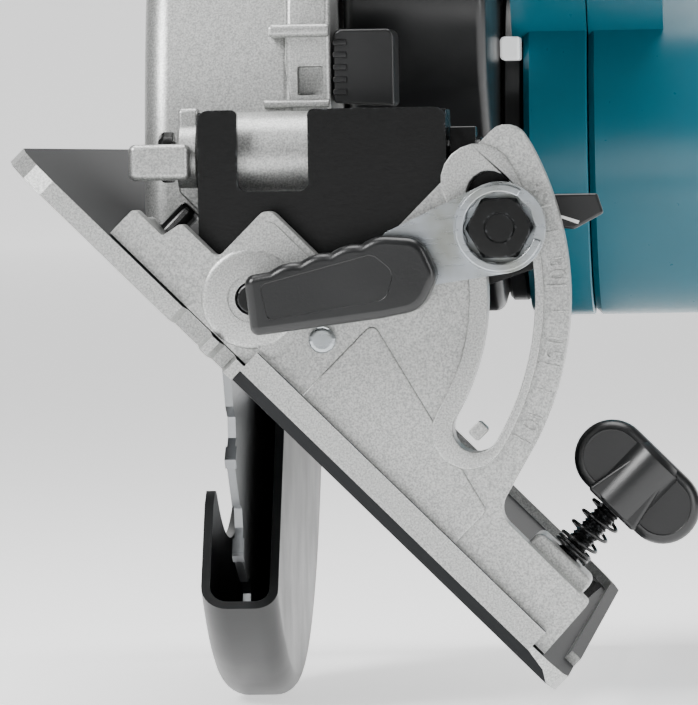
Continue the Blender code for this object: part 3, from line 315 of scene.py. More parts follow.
# %% Ground steel
ground_steel, shader = new_material("ground_steel", "8E9092", 0.3, 1.0, Anisotropic=0.5)
place = add(ground_steel, "ShaderNodeTexCoord").outputs["Object"]
offset = add(ground_steel, "ShaderNodeVectorMath", {"Vector": place}, operation="SUBTRACT")
offset.inputs[1].default_value = upright @ Vector((0, *ARBOR))
flat = add(ground_steel, "ShaderNodeVectorMath", {"Vector": offset.outputs["Vector"]}, operation="MULTIPLY")
flat.inputs[1].default_value = (0, 1, 1)
radius = add(ground_steel, "ShaderNodeVectorMath", {"Vector": flat.outputs["Vector"]}, operation="LENGTH")
grind = add(
    ground_steel, "ShaderNodeTexNoise", {"W": radius.outputs["Value"]}, noise_dimensions="1D",
    Scale=per_mm(0.25), Detail=3.0
)
gloss = add(ground_steel, "ShaderNodeMapRange", {"Value": grind.outputs["Fac"]}, To_Min=0.22, To_Max=0.42)
bump = add(
    ground_steel, "ShaderNodeBump", {"Height": grind.outputs["Fac"]}, Strength=0.15, Distance=0.00008
)
feed(ground_steel, shader, Roughness=gloss.outputs["Result"], Normal=bump.outputs["Normal"])

# %% [markdown]
# Inside the motor the windings are enamelled copper wire: fine rings 0.8 mm apart. The lamp's lens
# is clear polycarbonate in front of a white LED, which is lit while the trigger is held.

# %% Copper winding, lamp lens and white print
copper_wire, shader = new_material("enamelled_copper_wire", "B06A32", 0.32, 1.0)
place = add(copper_wire, "ShaderNodeTexCoord").outputs["Object"]
turns = add(copper_wire, "ShaderNodeTexWave", {"Vector": place}, Scale=per_mm(0.8 * 6.28), Distortion=0.6)
bump = add(copper_wire, "ShaderNodeBump", {"Height": turns.outputs["Fac"]}, Strength=0.5, Distance=0.0003)
feed(copper_wire, shader, Normal=bump.outputs["Normal"])
lamp_lens, shader = new_material(
    "clear_polycarbonate_lens", "F4F7F8", 0.08, IOR=1.585, Emission_Strength=0.35
)
shader.inputs["Emission Color"].default_value = linear("FFFFFF")
ripple = add(
    lamp_lens, "ShaderNodeTexWave", {"Vector": add(lamp_lens, "ShaderNodeTexCoord").outputs["Object"]},
    Scale=per_mm(6.28)
)
bump = add(lamp_lens, "ShaderNodeBump", {"Height": ripple.outputs["Fac"]}, Strength=0.2, Distance=0.0001)
feed(lamp_lens, shader, Normal=bump.outputs["Normal"])
white_print, shader = new_material("white_tampo_print", "E9EAE8", 0.5, IOR=1.5)
fleck = add(
    white_print, "ShaderNodeTexNoise", {"Vector": add(white_print, "ShaderNodeTexCoord").outputs["Object"]},
    Scale=per_mm(0.4)
)
gloss = add(white_print, "ShaderNodeMapRange", {"Value": fleck.outputs["Fac"]}, To_Min=0.4, To_Max=0.6)
feed(white_print, shader, Roughness=gloss.outputs["Result"])
print(len(bpy.data.materials), "materials")

# %% [markdown]
# ## Shapes
# Castings and mouldings have flat faces with rounded edges. Each is drawn as an outline, given a
# thickness, and its edges are rounded by a Bevel modifier, which is then applied. Shading normals
# are weighted by face area, so flat faces stay flat right up to the rounding.

# %% Outline helpers


def arc(centre, radius, start, end, steps):
    turn = radians(end - start) / steps
    first = radians(start)
    return [
        (
            centre[0] + radius * cos(first + i * turn), centre[1] + radius * sin(first + i * turn)
        ) for i in range(steps + 1)
    ]


def circle(centre, radius, steps=48):
    return arc(centre, radius, 0, 360, steps)[:-1]


def box(low, high):
    return [(low[0], low[1]), (high[0], low[1]), (high[0], high[1]), (low[0], high[1])]


def rounded(corners, steps=6):
    """Rounds the corners that carry a radius: (a, b, radius)."""
    outline = []
    for i, corner in enumerate(corners):
        here = Vector(corner[:2])
        if len(corner) < 3:
            outline.append(tuple(here))
            continue
        before = (Vector(corners[i - 1][:2]) - here).normalized()
        after = (Vector(corners[(i + 1) % len(corners)][:2]) - here).normalized()
        half = before.angle(after) / 2
        middle = here + (before + after).normalized() * (corner[2] / sin(half))
        start = here + before * (corner[2] * cos(half) / sin(half)) - middle
        end = here + after * (corner[2] * cos(half) / sin(half)) - middle
        first = atan2(start.y, start.x)
        turn = (atan2(end.y, end.x) - first + pi) % (2 * pi) - pi
        outline += [
            (
                middle.x + corner[2] * cos(first + turn * s / steps),
                middle.y + corner[2] * sin(first + turn * s / steps)
            )
            for s in range(steps + 1)
        ]
    return outline


def slot_outline(centre, radius, half, start, end):
    """A curved slot with round ends."""
    ends = [
        (centre[0] + radius * cos(radians(a)), centre[1] + radius * sin(radians(a))) for a in (start, end)
    ]
    return (
        arc(centre, radius + half, start, end, 28)
        + arc(ends[1], half, end, end + 180, 10)[1:-1]
        + arc(centre, radius - half, end, start, 28)
        + arc(ends[0], half, start + 180, start + 360, 10)[1:-1]
    )


# %% Solid helpers
PLACES = {"X": lambda a, b, c: (c, a, b), "Y": lambda a, b, c: (a, c, b), "Z": lambda a, b, c: (a, b, c)}


def baked(obj):
    """Applies the modifiers."""
    bpy.context.view_layer.update()
    mesh = bpy.data.meshes.new_from_object(obj.evaluated_get(bpy.context.evaluated_depsgraph_get()))
    old = obj.data
    obj.modifiers.clear()
    obj.data = mesh
    bpy.data.meshes.remove(old)
    return obj


def prism(name, rings, axis, low, high, edge=0.0, segments=2, sharp=30):
    """An outline with holes, given a thickness in millimetres. edge rounds its corners."""
    put = PLACES[axis]
    flat = [point for ring in rings for point in ring]
    count = len(flat)
    caps = [tuple(range(count))]
    if len(rings) > 1:
        caps = tessellate_polygon([[Vector((a, b, 0)) for a, b in ring] for ring in rings])
    faces = [tuple(cap) for cap in caps] + [tuple(i + count for i in cap[::-1]) for cap in caps]
    first = 0
    for ring in rings:
        for i in range(len(ring)):
            j = first + (i + 1) % len(ring)
            faces.append((first + i, j, j + count, first + i + count))
        first += len(ring)
    points = [put(a, b, low) for a, b in flat] + [put(a, b, high) for a, b in flat]
    return from_points(name, points, faces, edge, segments, sharp)


def from_points(name, points, faces, edge=0.0, segments=2, sharp=30):
    mesh = bpy.data.meshes.new(name)
    mesh.from_pydata(points, [], faces)
    work = bmesh.new()
    work.from_mesh(mesh)
    bmesh.ops.recalc_face_normals(work, faces=work.faces)
    work.to_mesh(mesh)
    work.free()
    obj = bpy.data.objects.new(name, mesh)
    bpy.context.scene.collection.objects.link(obj)
    if edge:
        round_edges(obj, edge, segments, sharp)
        baked(obj)
    return obj


def round_edges(obj, width, segments=2, sharp=30):
    bevel = obj.modifiers.new("edges", "BEVEL")
    bevel.width, bevel.segments, bevel.limit_method = width, segments, "ANGLE"
    bevel.angle_limit = radians(sharp)
    bevel.harden_normals = False
    return bevel


def turned(name, profile, axis, centre, steps=48, edge=0.0):
    """A profile of (along, radius) points turned round an axis."""
    put = PLACES[axis]
    rings, points, faces = [], [], []
    for along, radius in profile:
        size = 1 if radius < 1e-6 else steps
        rings.append([len(points) + (i if size > 1 else 0) for i in range(steps)])
        points += [put(a, b, along) for a, b in (circle(centre, radius, steps) if size > 1 else [centre])]
    for i, ring in enumerate(rings):
        other = rings[(i + 1) % len(rings)]
        for s in range(steps):
            t = (s + 1) % steps
            corners = list(dict.fromkeys((ring[s], ring[t], other[t], other[s])))
            if len(corners) > 2:
                faces.append(corners)
    return from_points(name, points, faces, edge)


def carve(obj, *others, operation="DIFFERENCE"):
    """Cuts or joins other shapes, which are used up."""
    for other in others:
        modifier = obj.modifiers.new("carve", "BOOLEAN")
        modifier.operation, modifier.solver, modifier.object = operation, "EXACT", other
        baked(obj)
        bpy.data.objects.remove(other)
    return obj


def gather(name, parts):
    """Puts several solids in one object."""
    work = bmesh.new()
    for part in parts:
        work.from_mesh(part.data)
        if part is not parts[0]:
            bpy.data.objects.remove(part)
    obj = parts[0]
    obj.name = name
    work.to_mesh(obj.data)
    work.free()
    return obj


def settle(obj, frame_matrix, body, material, slot, replaces=(), smooth=35, edge=0.0, segments=2):
    """Puts a finished solid in the row's frame, on its body, with its finish. slot is not used."""
    if edge:
        round_edges(obj, edge, segments)
        baked(obj)
    obj.data.transform(frame_matrix)
    obj.data.materials.clear()
    obj.data.materials.append(material)
    obj.data.shade_smooth()
    obj.data.set_sharp_from_angle(angle=radians(smooth))
    weighted = obj.modifiers.new("normals", "WEIGHTED_NORMAL")
    weighted.keep_sharp = True
    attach(obj, body)
    if replaces:
        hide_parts(*replaces)
    print(obj.name, "on", body, len(obj.data.polygons), "faces")
    return obj


SILVER = (silver_lacquer, "silver_painted_casting")
ZINC = (zinc_plate, "zinc_plated_steel")
BLACK = (black_nylon, "black_nylon")
LACQUER = (black_steel, "black_painted_steel")
TEAL = (teal_nylon, "teal_nylon")

# %% [markdown]
# ## The quadrant
# The quadrant is one casting. A ridge runs round the arc slot, a pad stands round the pivot, and
# the rest is a millimetre lower. It is built as a plate with the raised parts laid on it, which
# keeps each rounding simple, and it stands for the CAD node of the same outline.

# %% Quadrant plate, ridge and pad
ARC_R, SLOT_R, SLOT_HALF = 60.3, 49.2, 4.5
FOOT = -9.8
plate_outline = rounded(
    [
        (-28, FOOT), (-28, -3.3, 1), (-20.5, -3.3, 0.5), (-19.6, 0.9, 1), (-10, 0.9, 1.5), (-10, 14.4, 2),
        (10.5, 14.4, 3),
        (10.5, sqrt(ARC_R**2 - 10.5**2), 4), *arc((0, 0), ARC_R, 73, 16.5, 40), (61.5, 3.2, 4),
        (86, 3.0, 1), (86.6, FOOT),
    ]
)
slot = slot_outline((0, 0), SLOT_R, SLOT_HALF, 14, 67.6)
pivot_hole = circle((0, 0), 3.2, 32)
rivet_hole = circle((15.1, 3.7), 1.9, 24)
plate = prism("plate", [plate_outline, slot, pivot_hole, rivet_hole], "Y", 0.9, 10, 0.6)
ridge = prism("ridge", [slot_outline((0, 0), 48.3, 7.1, 12.5, 71.5), slot], "Y", 0.0, 1.6, 0.5)
pad = prism(
    "pad", [rounded([(-8.6, -6, 1.5), (10.6, -6, 1.5), (10.6, 13.2, 2.5), (-8.6, 13.2, 2.5)]), pivot_hole],
    "Y", 0.3, 1.6, 0.5
)
boss = turned("boss", [(0.0, 4.6), (0.0, 8.6), (0.35, 9.4), (1.2, 9.7), (1.2, 4.6)], "Y", (0, 0), 64)
step = prism(
    "step", [rounded([(19.6, -7.4, 1), (60, -7.4, 1), (60, 2.2, 1.5), (38, 8, 4), (19.6, 12.8, 1.5)])], "Y",
    0.45, 1.6, 0.4
)
lug = prism(
    "lug", [rounded([(-26.2, FOOT), (-26.2, -3.6, 1), (-16.2, -3.6, 1), (-16.2, FOOT)])], "Y", 9, 29, 0.5
)
carve(lug, prism("hole", [circle((-21.2, 24), 2.6, 24)], "Z", -12, 0))
fence_boss = prism(
    "fence_boss", [rounded([(69.8, FOOT), (69.8, 6, 1.6), (83.9, 6, 1.6), (83.9, FOOT)])], "Y", 9, 24, 0.6
)
carve(
    fence_boss,
    prism("hole", [circle(FENCE, 2.7, 24)], "Z", -12, 9),
    prism("channel", [box((11.5, -11), (22.5, -6.4))], "X", 66, 88),
)
tab = prism(
    "tab", [rounded([(47.0, 10.2, 0.6), (49.6, 10.2, 0.6), (49.6, 13.4, 0.6), (47.0, 13.4, 0.6)])], "Y",
    2.5, 7, 0.3
)
quadrant = gather("quadrant_casting", [plate, ridge, pad, boss, step, lug, fence_boss])
settle(quadrant, tipped, "base", *SILVER, replaces=["bevel_quadrant"])
settle(tab, tipped, "base", *SILVER)

# %% [markdown]
# The scale is cast with the quadrant: short ridges each 5 degrees, long ones each 15, and raised
# numbers that read outwards. Zero is where the bolt stands when the blade is upright.

# %% Scale ridges and numbers
ZERO_ANGLE = 16.5
MARK_PITCH = 5
MARK_OUTER = 59.7
NUMBER_R, NUMBER_SIZE = 57.9, 4.6
ridges = []
for mark in range(10):
    angle = radians(ZERO_ANGLE + MARK_PITCH * mark)
    inner = 56.6 if mark % 3 else 55.6
    a, b = Vector((cos(angle), sin(angle))), Vector((-sin(angle), cos(angle))) * 0.22
    corners = [a * inner - b, a * MARK_OUTER - b, a * MARK_OUTER + b, a * inner + b]
    ridges.append(prism("mark", [[tuple(c) for c in corners]], "Y", 0.55, 1.4, 0.1, 1))
for index, value in enumerate(("0", "15", "30", "45")):
    curve = bpy.data.curves.new("number", "FONT")
    curve.body, curve.size, curve.extrude = value, NUMBER_SIZE, 0.3
    curve.align_x, curve.align_y = "CENTER", "CENTER"
    text = bpy.data.objects.new("number", curve)
    bpy.context.scene.collection.objects.link(text)
    bpy.context.view_layer.update()
    mesh = bpy.data.meshes.new_from_object(text)
    bpy.data.objects.remove(text)
    number = bpy.data.objects.new("number", mesh)
    bpy.context.scene.collection.objects.link(number)
    angle = ZERO_ANGLE + 15 * index + 3.0
    middle = Matrix.Translation((NUMBER_R * cos(radians(angle)), 0.7, NUMBER_R * sin(radians(angle))))
    turn = Matrix.Rotation(-radians(angle - 90), 4, "Y") @ Matrix.Rotation(radians(90), 4, "X")
    mesh.transform(middle @ turn)
    ridges.append(number)
settle(gather("bevel_scale", ridges), tipped, "base", *SILVER)

# %% [markdown]
# ## The bevel lever
# A pressed steel arm, zinc plated, fits over the hexagon of the clamp bolt with a twelve-point
# hole, so that it can be set at any angle, and a spring clip holds it there. Its plastic grip has
# finger scallops along the top. Outlines are drawn along the lever and across it, then turned to
# its slope.

# %% Lever arm, clip, bolt and grip
LEVER_SLOPE = radians(16.5)


def along(points):
    c, s = cos(LEVER_SLOPE), sin(LEVER_SLOPE)
    return [(BOLT[0] - a * c - b * s, BOLT[1] - a * s + b * c) for a, b in points]


twelve = []
for i in range(24):
    twelve.append((6.62 + 0.36 * (i % 2)) * Vector((cos(pi * i / 12), sin(pi * i / 12))))
twelve = along([tuple(v) for v in twelve])
arm_outline = along(
    arc((0, 0), 8.7, 82, 278, 44) + rounded(
        [(21, -5.6), (24, -3.6), (40, -3.6, 1.5), (40, 3.6, 1.5), (24, 3.6), (21, 5.6)], 4
    )
)
arm = prism("arm", [arm_outline, twelve], "Y", -6.5, -3.7, 0.4)
collar = prism("collar", [along(circle((0, 0), 8.68, 72)), twelve], "Y", -9.3, -5, 0.55, 3)
lever_arm = gather("lever_arm_plated", [arm, collar])
settle(lever_arm, upright, "bevel_lever", *ZINC, replaces=["lever_arm"])
clip = prism(
    "lever_clip", [along(arc((0, 0), 8.3, -146, 138, 44) + arc((0, 0), 6.75, 138, -146, 44))], "Y", -10.0,
    -9.2, 0.3
)
settle(clip, upright, "bevel_lever", *ZINC)

head = prism("head", [circle(BOLT, 5.6 / cos(pi / 6), 6)], "Y", -9.0, -3.9, 0.25)
chamfer = turned("chamfer", [(-9.4, 5.3), (-7.2, 7.6), (-3.0, 7.6), (-3.0, 0), (-9.4, 0)], "Y", BOLT, 48)
carve(head, chamfer, operation="INTERSECT")
dimple = turned("dimple", [(-9.6, 0), (-9.6, 3.4), (-8.5, 2.6), (-8.5, 0)], "Y", BOLT, 32)
carve(head, dimple)
shank = turned("shank", [(-4.2, 0), (-4.2, 4), (23.4, 4), (24, 3.4), (24, 0)], "Y", BOLT, 32)
settle(gather("bevel_bolt", [head, shank]), upright, "bevel_lever", *LACQUER, replaces=["bevel_clamp_bolt"])

top_edge = []
for i in range(24):
    t = 43.5 - i * 1.0
    top_edge.append((t, 5.7 - 0.6 * (1 - abs(sin(pi * (43.5 - t) / 6.0))) - 0.5 * ((43.5 - t) / 23) ** 2))
grip_outline = rounded(
    [
        (13.4, -5.0, 3.5), (18.4, -10.4, 5.5), (26, -9.6, 10), (50.4, -5.5, 1.6), (48.3, 5.7, 1.8),
        *top_edge,
        (14.4, 2.6, 4.5),
    ],
    6,
)
grip = prism("lever_handle", [along(grip_outline)], "Y", -14.5, -3.2, 2.0, 5, sharp=50)
panel = prism(
    "panel",
    [
        along(
            rounded(
                [(46.5, -3.6, 1.2), (46.0, 3.4, 1.2), (24, 2.6, 2.5), (21, -1.8, 2.5), (24, -6.6, 2.5)], 5
            )
        )
    ],
    "Y", -16, -14.15, 0.25
)
carve(grip, panel)
pocket = prism(
    "pocket",
    [
        along(
            [
                (0, -9), (21.4, -6.2), (24.6, -4.1), (40.6, -4.1), (40.6, 4.1), (24.6, 4.1), (21.4, 6.2),
                (0, 9)
            ]
        )
    ],
    "Y", -7.0, -2.0
)
carve(grip, pocket)
settle(grip, upright, "bevel_lever", *BLACK, replaces=["lever_grip"], smooth=50)
washer = turned(
    "bevel_clamp_washer", [(-3.0, 4.3), (-3.0, 7.8), (-2.7, 8.2), (-0.3, 8.2), (-0.3, 4.3)], "Y", BOLT, 56
)
settle(washer, upright, "bevel_lever", *ZINC, replaces=["bevel_washer"])

# %% [markdown]
# ## The fence clamp
# The knob is moulded over an M5 screw that pinches a rip fence in its channel. A spring under it
# keeps it from rattling loose: its lower turns are closed and its upper turns are open. The spring
# is a wire on a helix whose pitch changes, and the screw is a stack of 0.8 mm ridges.

# %% Knob, spring and screw
LOW, HIGH = 18.0, 32.3
middle, end = (LOW + HIGH) / 2, (HIGH - LOW) / 2
reach = 13.9 - end
stadium = arc(
    (FENCE[0] + reach, middle), end, -90, 90, 24
) + arc((FENCE[0] - reach, middle), end, 90, 270, 24)
knob = prism("fence_clamp_knob", [stadium], "Y", 13.2, 20.8, 2.2, 5, sharp=50)
for side in (-1, 1):
    centre = FENCE[0] + side * reach
    inset = end - 1.7
    round_end = arc(
        (centre, middle), inset, -90, 90, 16
    ) if side > 0 else arc((centre, middle), inset, 90, 270, 16)
    inner = FENCE[0] + side * 2.0
    corners = [(inner, middle + inset), (inner, middle - inset)]
    recess = round_end + (corners if side > 0 else corners[::-1])
    for low, high in ((10, 13.75), (20.25, 23)):
        carve(knob, prism("recess", [recess], "Y", low, high, 0.2, 2))
wedge = [
    (FENCE[0] - 6.1, LOW - 0.2, 0.8), (FENCE[0] + 6.1, LOW - 0.2, 0.8), (FENCE[0] + 3.9, HIGH - 3.6, 1.5),
    (FENCE[0] - 3.9, HIGH - 3.6, 1.5)
]
carve(knob, prism("wedge", [rounded(wedge)], "Y", 12.0, 22.0, 1.4, 4), operation="UNION")
core = turned(
    "core",
    [
        (LOW + 0.2, 2.6), (LOW + 0.2, 5.6), (LOW + 0.8, 6.2), (HIGH - 1.4, 6.2), (HIGH - 0.3, 4.8),
        (HIGH - 0.3, 2.6)
    ],
    "Z", FENCE, 40
)
settle(
    gather("fence_clamp_knob", [knob, core]), tipped, "fence_screw", *BLACK, replaces=["fence_knob"],
    smooth=50
)

WIRE_RADIUS, COIL_RADIUS, COIL_TOP = 0.34, 3.65, 17.4
THREAD_PITCH = 0.8
points = []
for i in range(156):
    turn_count = i / 24
    height = 6.6 + 0.75 * min(turn_count, 2.5) + 3.1 * max(0.0, min(turn_count, 6.0) - 2.5) * 0.9
    if height > COIL_TOP:
        break
    angle = 2 * pi * turn_count
    points.append((FENCE[0] + COIL_RADIUS * cos(angle), FENCE[1] + COIL_RADIUS * sin(angle), height))
curve = bpy.data.curves.new("fence_coil", "CURVE")
curve.dimensions, curve.use_fill_caps = "3D", True
curve.bevel_depth, curve.bevel_resolution = WIRE_RADIUS, 3
spline = curve.splines.new("POLY")
spline.points.add(len(points) - 1)
for point, place in zip(spline.points, points):
    point.co = (*place, 1)
spring = bpy.data.objects.new("fence_coil", curve)
bpy.context.scene.collection.objects.link(spring)
bpy.context.view_layer.update()
coil = bpy.data.objects.new("fence_coil_wire", bpy.data.meshes.new_from_object(spring))
bpy.context.scene.collection.objects.link(coil)
bpy.data.objects.remove(spring)
settle(coil, tipped, "base", *LACQUER, replaces=["fence_spring"], smooth=60)

profile = [(-5.7, 0), (-5.7, 1.8)]
for i in range(29):
    profile += [(-5.2 + THREAD_PITCH * i, 2.36), (-4.8 + THREAD_PITCH * i, 2.0)]
profile += [(17.8, 2.0), (17.8, 0)]
settle(
    turned("fence_screw_thread", profile, "Z", FENCE, 28), tipped, "fence_screw", *LACQUER,
    replaces=["fence_screw"]
)

# %% [markdown]
# ## The blade guard
# The lower guard is a trough of black nylon swept round the arbor. Its cross-section is a U with
# round corners. On the left the wall is low, to let the blade bolt out, and it rounds away at the
# front lip. So the section is drawn once, and its left wall starts lower at the lip and grows to
# its full height over the first few degrees.

# %% Guard


def guard_section(left_wall):
    outer = rounded([(-17.2, left_wall), (-17.2, 99, 5.5), (-1.7, 99, 4.5), (-1.7, 24)], 8)
    inner = rounded([(-3.5, 24), (-3.5, 97.2, 3.0), (-15.4, 97.2, 3.7), (-15.4, left_wall)], 8)
    return outer + inner


def spot(radius, angle):
    """A point about the arbor. Angles count from the front downwards."""
    return (ARBOR[0] - radius * cos(radians(angle)), ARBOR[1] - radius * sin(radians(angle)))


OPEN, SHUT = 52.0, 198.0
LEFT_WALL = 66.5
sections = []
count = 74
for i in range(count + 1):
    share = i / count
    angle = OPEN + (SHUT - OPEN) * share
    near = max(0.0, 1 - (angle - OPEN) / 6.0)
    sections.append((angle, LEFT_WALL + 7 * (1 - sqrt(1 - near**2))))
points, faces = [], []
size = len(guard_section(LEFT_WALL))
for angle, left_wall in sections:
    points += [(x, *spot(r, angle)) for x, r in guard_section(left_wall)]
for i in range(count):
    for k in range(size):
        j = (k + 1) % size
        faces.append((i * size + k, i * size + j, (i + 1) * size + j, (i + 1) * size + k))
faces += [tuple(range(size)), tuple(range(count * size, (count + 1) * size))[::-1]]
trough = from_points("trough", points, faces)
hub = turned("hub", [(-3.4, 20.4), (-3.4, 28), (-2.2, 28.5), (-1.8, 28), (-1.8, 20.4)], "X", ARBOR, 72)
peg = prism("peg", [[spot(66.5, 190), spot(70.8, 190), spot(70.8, 196), spot(66.5, 196)]], "X", -2.6, 8.1)
settle(
    gather("swinging_guard", [trough, hub, peg]), upright, "guard", *BLACK, replaces=["lower_guard"],
    smooth=40
)
tips = []
TEETH = 24
for tooth in range(TEETH):
    base_angle = 360 / TEETH * tooth
    a = [(95.0, 0.0), (94.4, 1.5), (91.0, 1.9), (90.6, -0.2)]
    tips.append(prism("tip", [[spot(r, base_angle + d) for r, d in a]], "X", -10.12, -7.88, 0.0))
settle(gather("carbide_tips", tips), upright, "blade", ground_steel, "bare_steel")
print("guard swept over", SHUT - OPEN, "degrees")

# %% [markdown]
# ## The blade case
# The upper guard is a die casting: half a drum swept round the arbor with a round left shoulder.
# On its right side it carries the gear flange, the nose that the shaft lock sits on, and the barrel
# that the depth pivot bolt runs through. They are rounded blocks let into the drum's wall.

# %% Blade case
case_section = rounded(
    [
        (6, 16.4), (6, 104, 2.0), (-23.3, 104, 5.0), (-23.3, 34), (-20, 34), (-20, 101.2, 3),
        (3, 101.2, 1.5), (3, 16.4)
    ],
    6
)
points, faces = [], []
count, size = 90, len(case_section)
for i in range(count + 1):
    for x, r in case_section:
        points.append((x, *spot(r, 179.5 + 181.0 * i / count)))
for i in range(count):
    for k in range(size):
        j = (k + 1) % size
        faces.append((i * size + k, i * size + j, (i + 1) * size + j, (i + 1) * size + k))
faces += [tuple(range(size)), tuple(range(count * size, (count + 1) * size))[::-1]]
drum = from_points("drum", points, faces)
slot_cut = [
    spot(73.4, 188 + 124 * i / 30) for i in range(31)
] + [spot(64.6, 312 - 124 * i / 30) for i in range(31)]
carve(drum, prism("slot", [slot_cut], "X", 0, 9))


def hull(points):
    points = sorted(set((round(a, 5), round(b, 5)) for a, b in points))
    halves = []
    for side in (points, points[::-1]):
        chain = []
        for p in side:
            while len(chain) > 1:
                (ax, ay), (bx, by) = chain[-2], chain[-1]
                if (bx - ax) * (p[1] - ay) - (by - ay) * (p[0] - ax) > 1e-9:
                    break
                chain.pop()
            chain.append(p)
        halves += chain[:-1]
    return halves


flange = prism(
    "flange", [hull(circle(MOTOR, 33, 64) + circle(ARBOR, 20.6, 48)), circle(ARBOR, 16.4, 40)], "X", 4.5,
    14, 0.8
)
nose = prism(
    "nose",
    [rounded([(38, 20), (37, 50, 3), (40, 62, 8), (74, 70, 8), (100, 54), (130, 40), (130, 14), (60, 16)])],
    "X", 4.5, 13.3, 1.2, 3
)
ledge = prism(
    "ledge", [rounded([(34.6, 49.8, 1), (34.6, 52.4, 1), (60, 52.4), (60, 49.8)])], "X", 1.5, 13.2, 0.6
)
rib = prism(
    "rib", [rounded([(34.8, 36.2, 1), (34.8, 37.8, 1), (60, 37.8), (60, 36.2)])], "X", 0.5, 13.0, 0.5
)
carve(nose, prism("pocket", [box((20, 38.6), (42, 44.2))], "X", 6.8, 11.9, 0.4))
neck = prism("neck", [rounded([(26, 20.2, 2), (60, 20.2), (60, 34), (26, 34, 2)])], "X", -6.5, 12.9, 1.2, 3)
web = prism("web", [box((24, 21.5), (46, 31.5))], "X", 10, 33.1, 1.0, 3)
barrel = turned(
    "barrel", [(-6.6, 3.4), (-6.6, 7.9), (-6.0, 8.5), (32.7, 8.5), (33.3, 7.9), (33.3, 3.4)], "X", DEPTH, 56
)
stub = turned(
    "stub", [(4.8, 4.3), (4.8, 7.5), (11.2, 7.5), (11.7, 7), (11.7, 4.3)], "X", (218.09, 54.28), 40
)
arbor_boss = turned(
    "arbor_boss", [(-1.5, 16.4), (-1.5, 19.4), (-0.9, 20), (7, 20), (7, 16.4)], "X", ARBOR, 64
)
case = gather("blade_case_casting", [drum, flange, nose, ledge, rib, neck, web, barrel, stub, arbor_boss])
settle(case, upright, "saw", *SILVER, replaces=["blade_case"])

# %% [markdown]
# ## Gear case, lamp and shaft lock
# The gear case is one moulding whose outline wraps the motor, the front grip's root and the arbor.
# The shaft lock is a button with a ribbed left end for the thumb.

# %% Gear case and shaft lock
LOBE = (86.0, 58.0)
shell_outline = hull(circle(MOTOR, 33, 80) + circle(LOBE, 24, 64) + circle(ARBOR, 20.6, 48))
gear_shell = prism("gear_shell", [shell_outline], "X", 14.3, 42.4, 2.2, 5)
rooms = hull(circle(ARBOR, 18.1, 40) + circle(MOTOR, 8, 24))
carve(
    gear_shell,
    prism("room", [rooms], "X", 10, 30),
    prism("seat", [circle(MOTOR, 9.7, 32)], "X", 29, 39.3),
    prism("bore", [circle(MOTOR, 4.5, 24)], "X", 39, 45),
    prism("seat", [circle(ARBOR, 11.2, 32)], "X", 29, 41),
    prism("pin_bore", [circle((19.5, 44), 3.4, 24)], "Y", 55, 74),
)
settle(gear_shell, upright, "saw", *BLACK, replaces=["gear_housing"], smooth=40)
collar = turned(
    "motor_collar", [(42.7, 12), (42.7, 32.6), (43.4, 33.4), (46.3, 33.4), (46.9, 32.8), (46.9, 12)], "X",
    MOTOR, 80
)
settle(collar, upright, "saw", *BLACK, replaces=["motor_flange"])
button = prism(
    "button", [rounded([(13.8, 37, 0.8), (25.6, 36.2, 1), (25.6, 51.3, 1.6), (13.8, 51.3, 1.6)])], "Y",
    38.4, 55, 0.6, 3
)
ribs = [
    prism(
        "rib", [rounded([(13.7, z, 0.4), (13.7, z + 1.1, 0.4), (16.4, z + 1.1), (16.4, z)])], "Y", 37.9,
        39.4, 0.2
    ) for z in (38.6, 41.0, 43.4, 45.8, 48.2)
]
pin = turned("pin", [(53, 0), (53, 3), (67.4, 3), (68, 2.4), (68, 0)], "Y", (19.5, 44), 32)
settle(
    gather("shaft_lock_button", [button, pin, *ribs]), upright, "shaft_lock", *BLACK,
    replaces=["shaft_lock"]
)

# %% [markdown]
# ## Clamshell
# Two teal halves meet at the middle of the handle. Each is the handle's outline with wide
# roundings, joined to a half of the motor barrel. The left half also carries the battery dock.

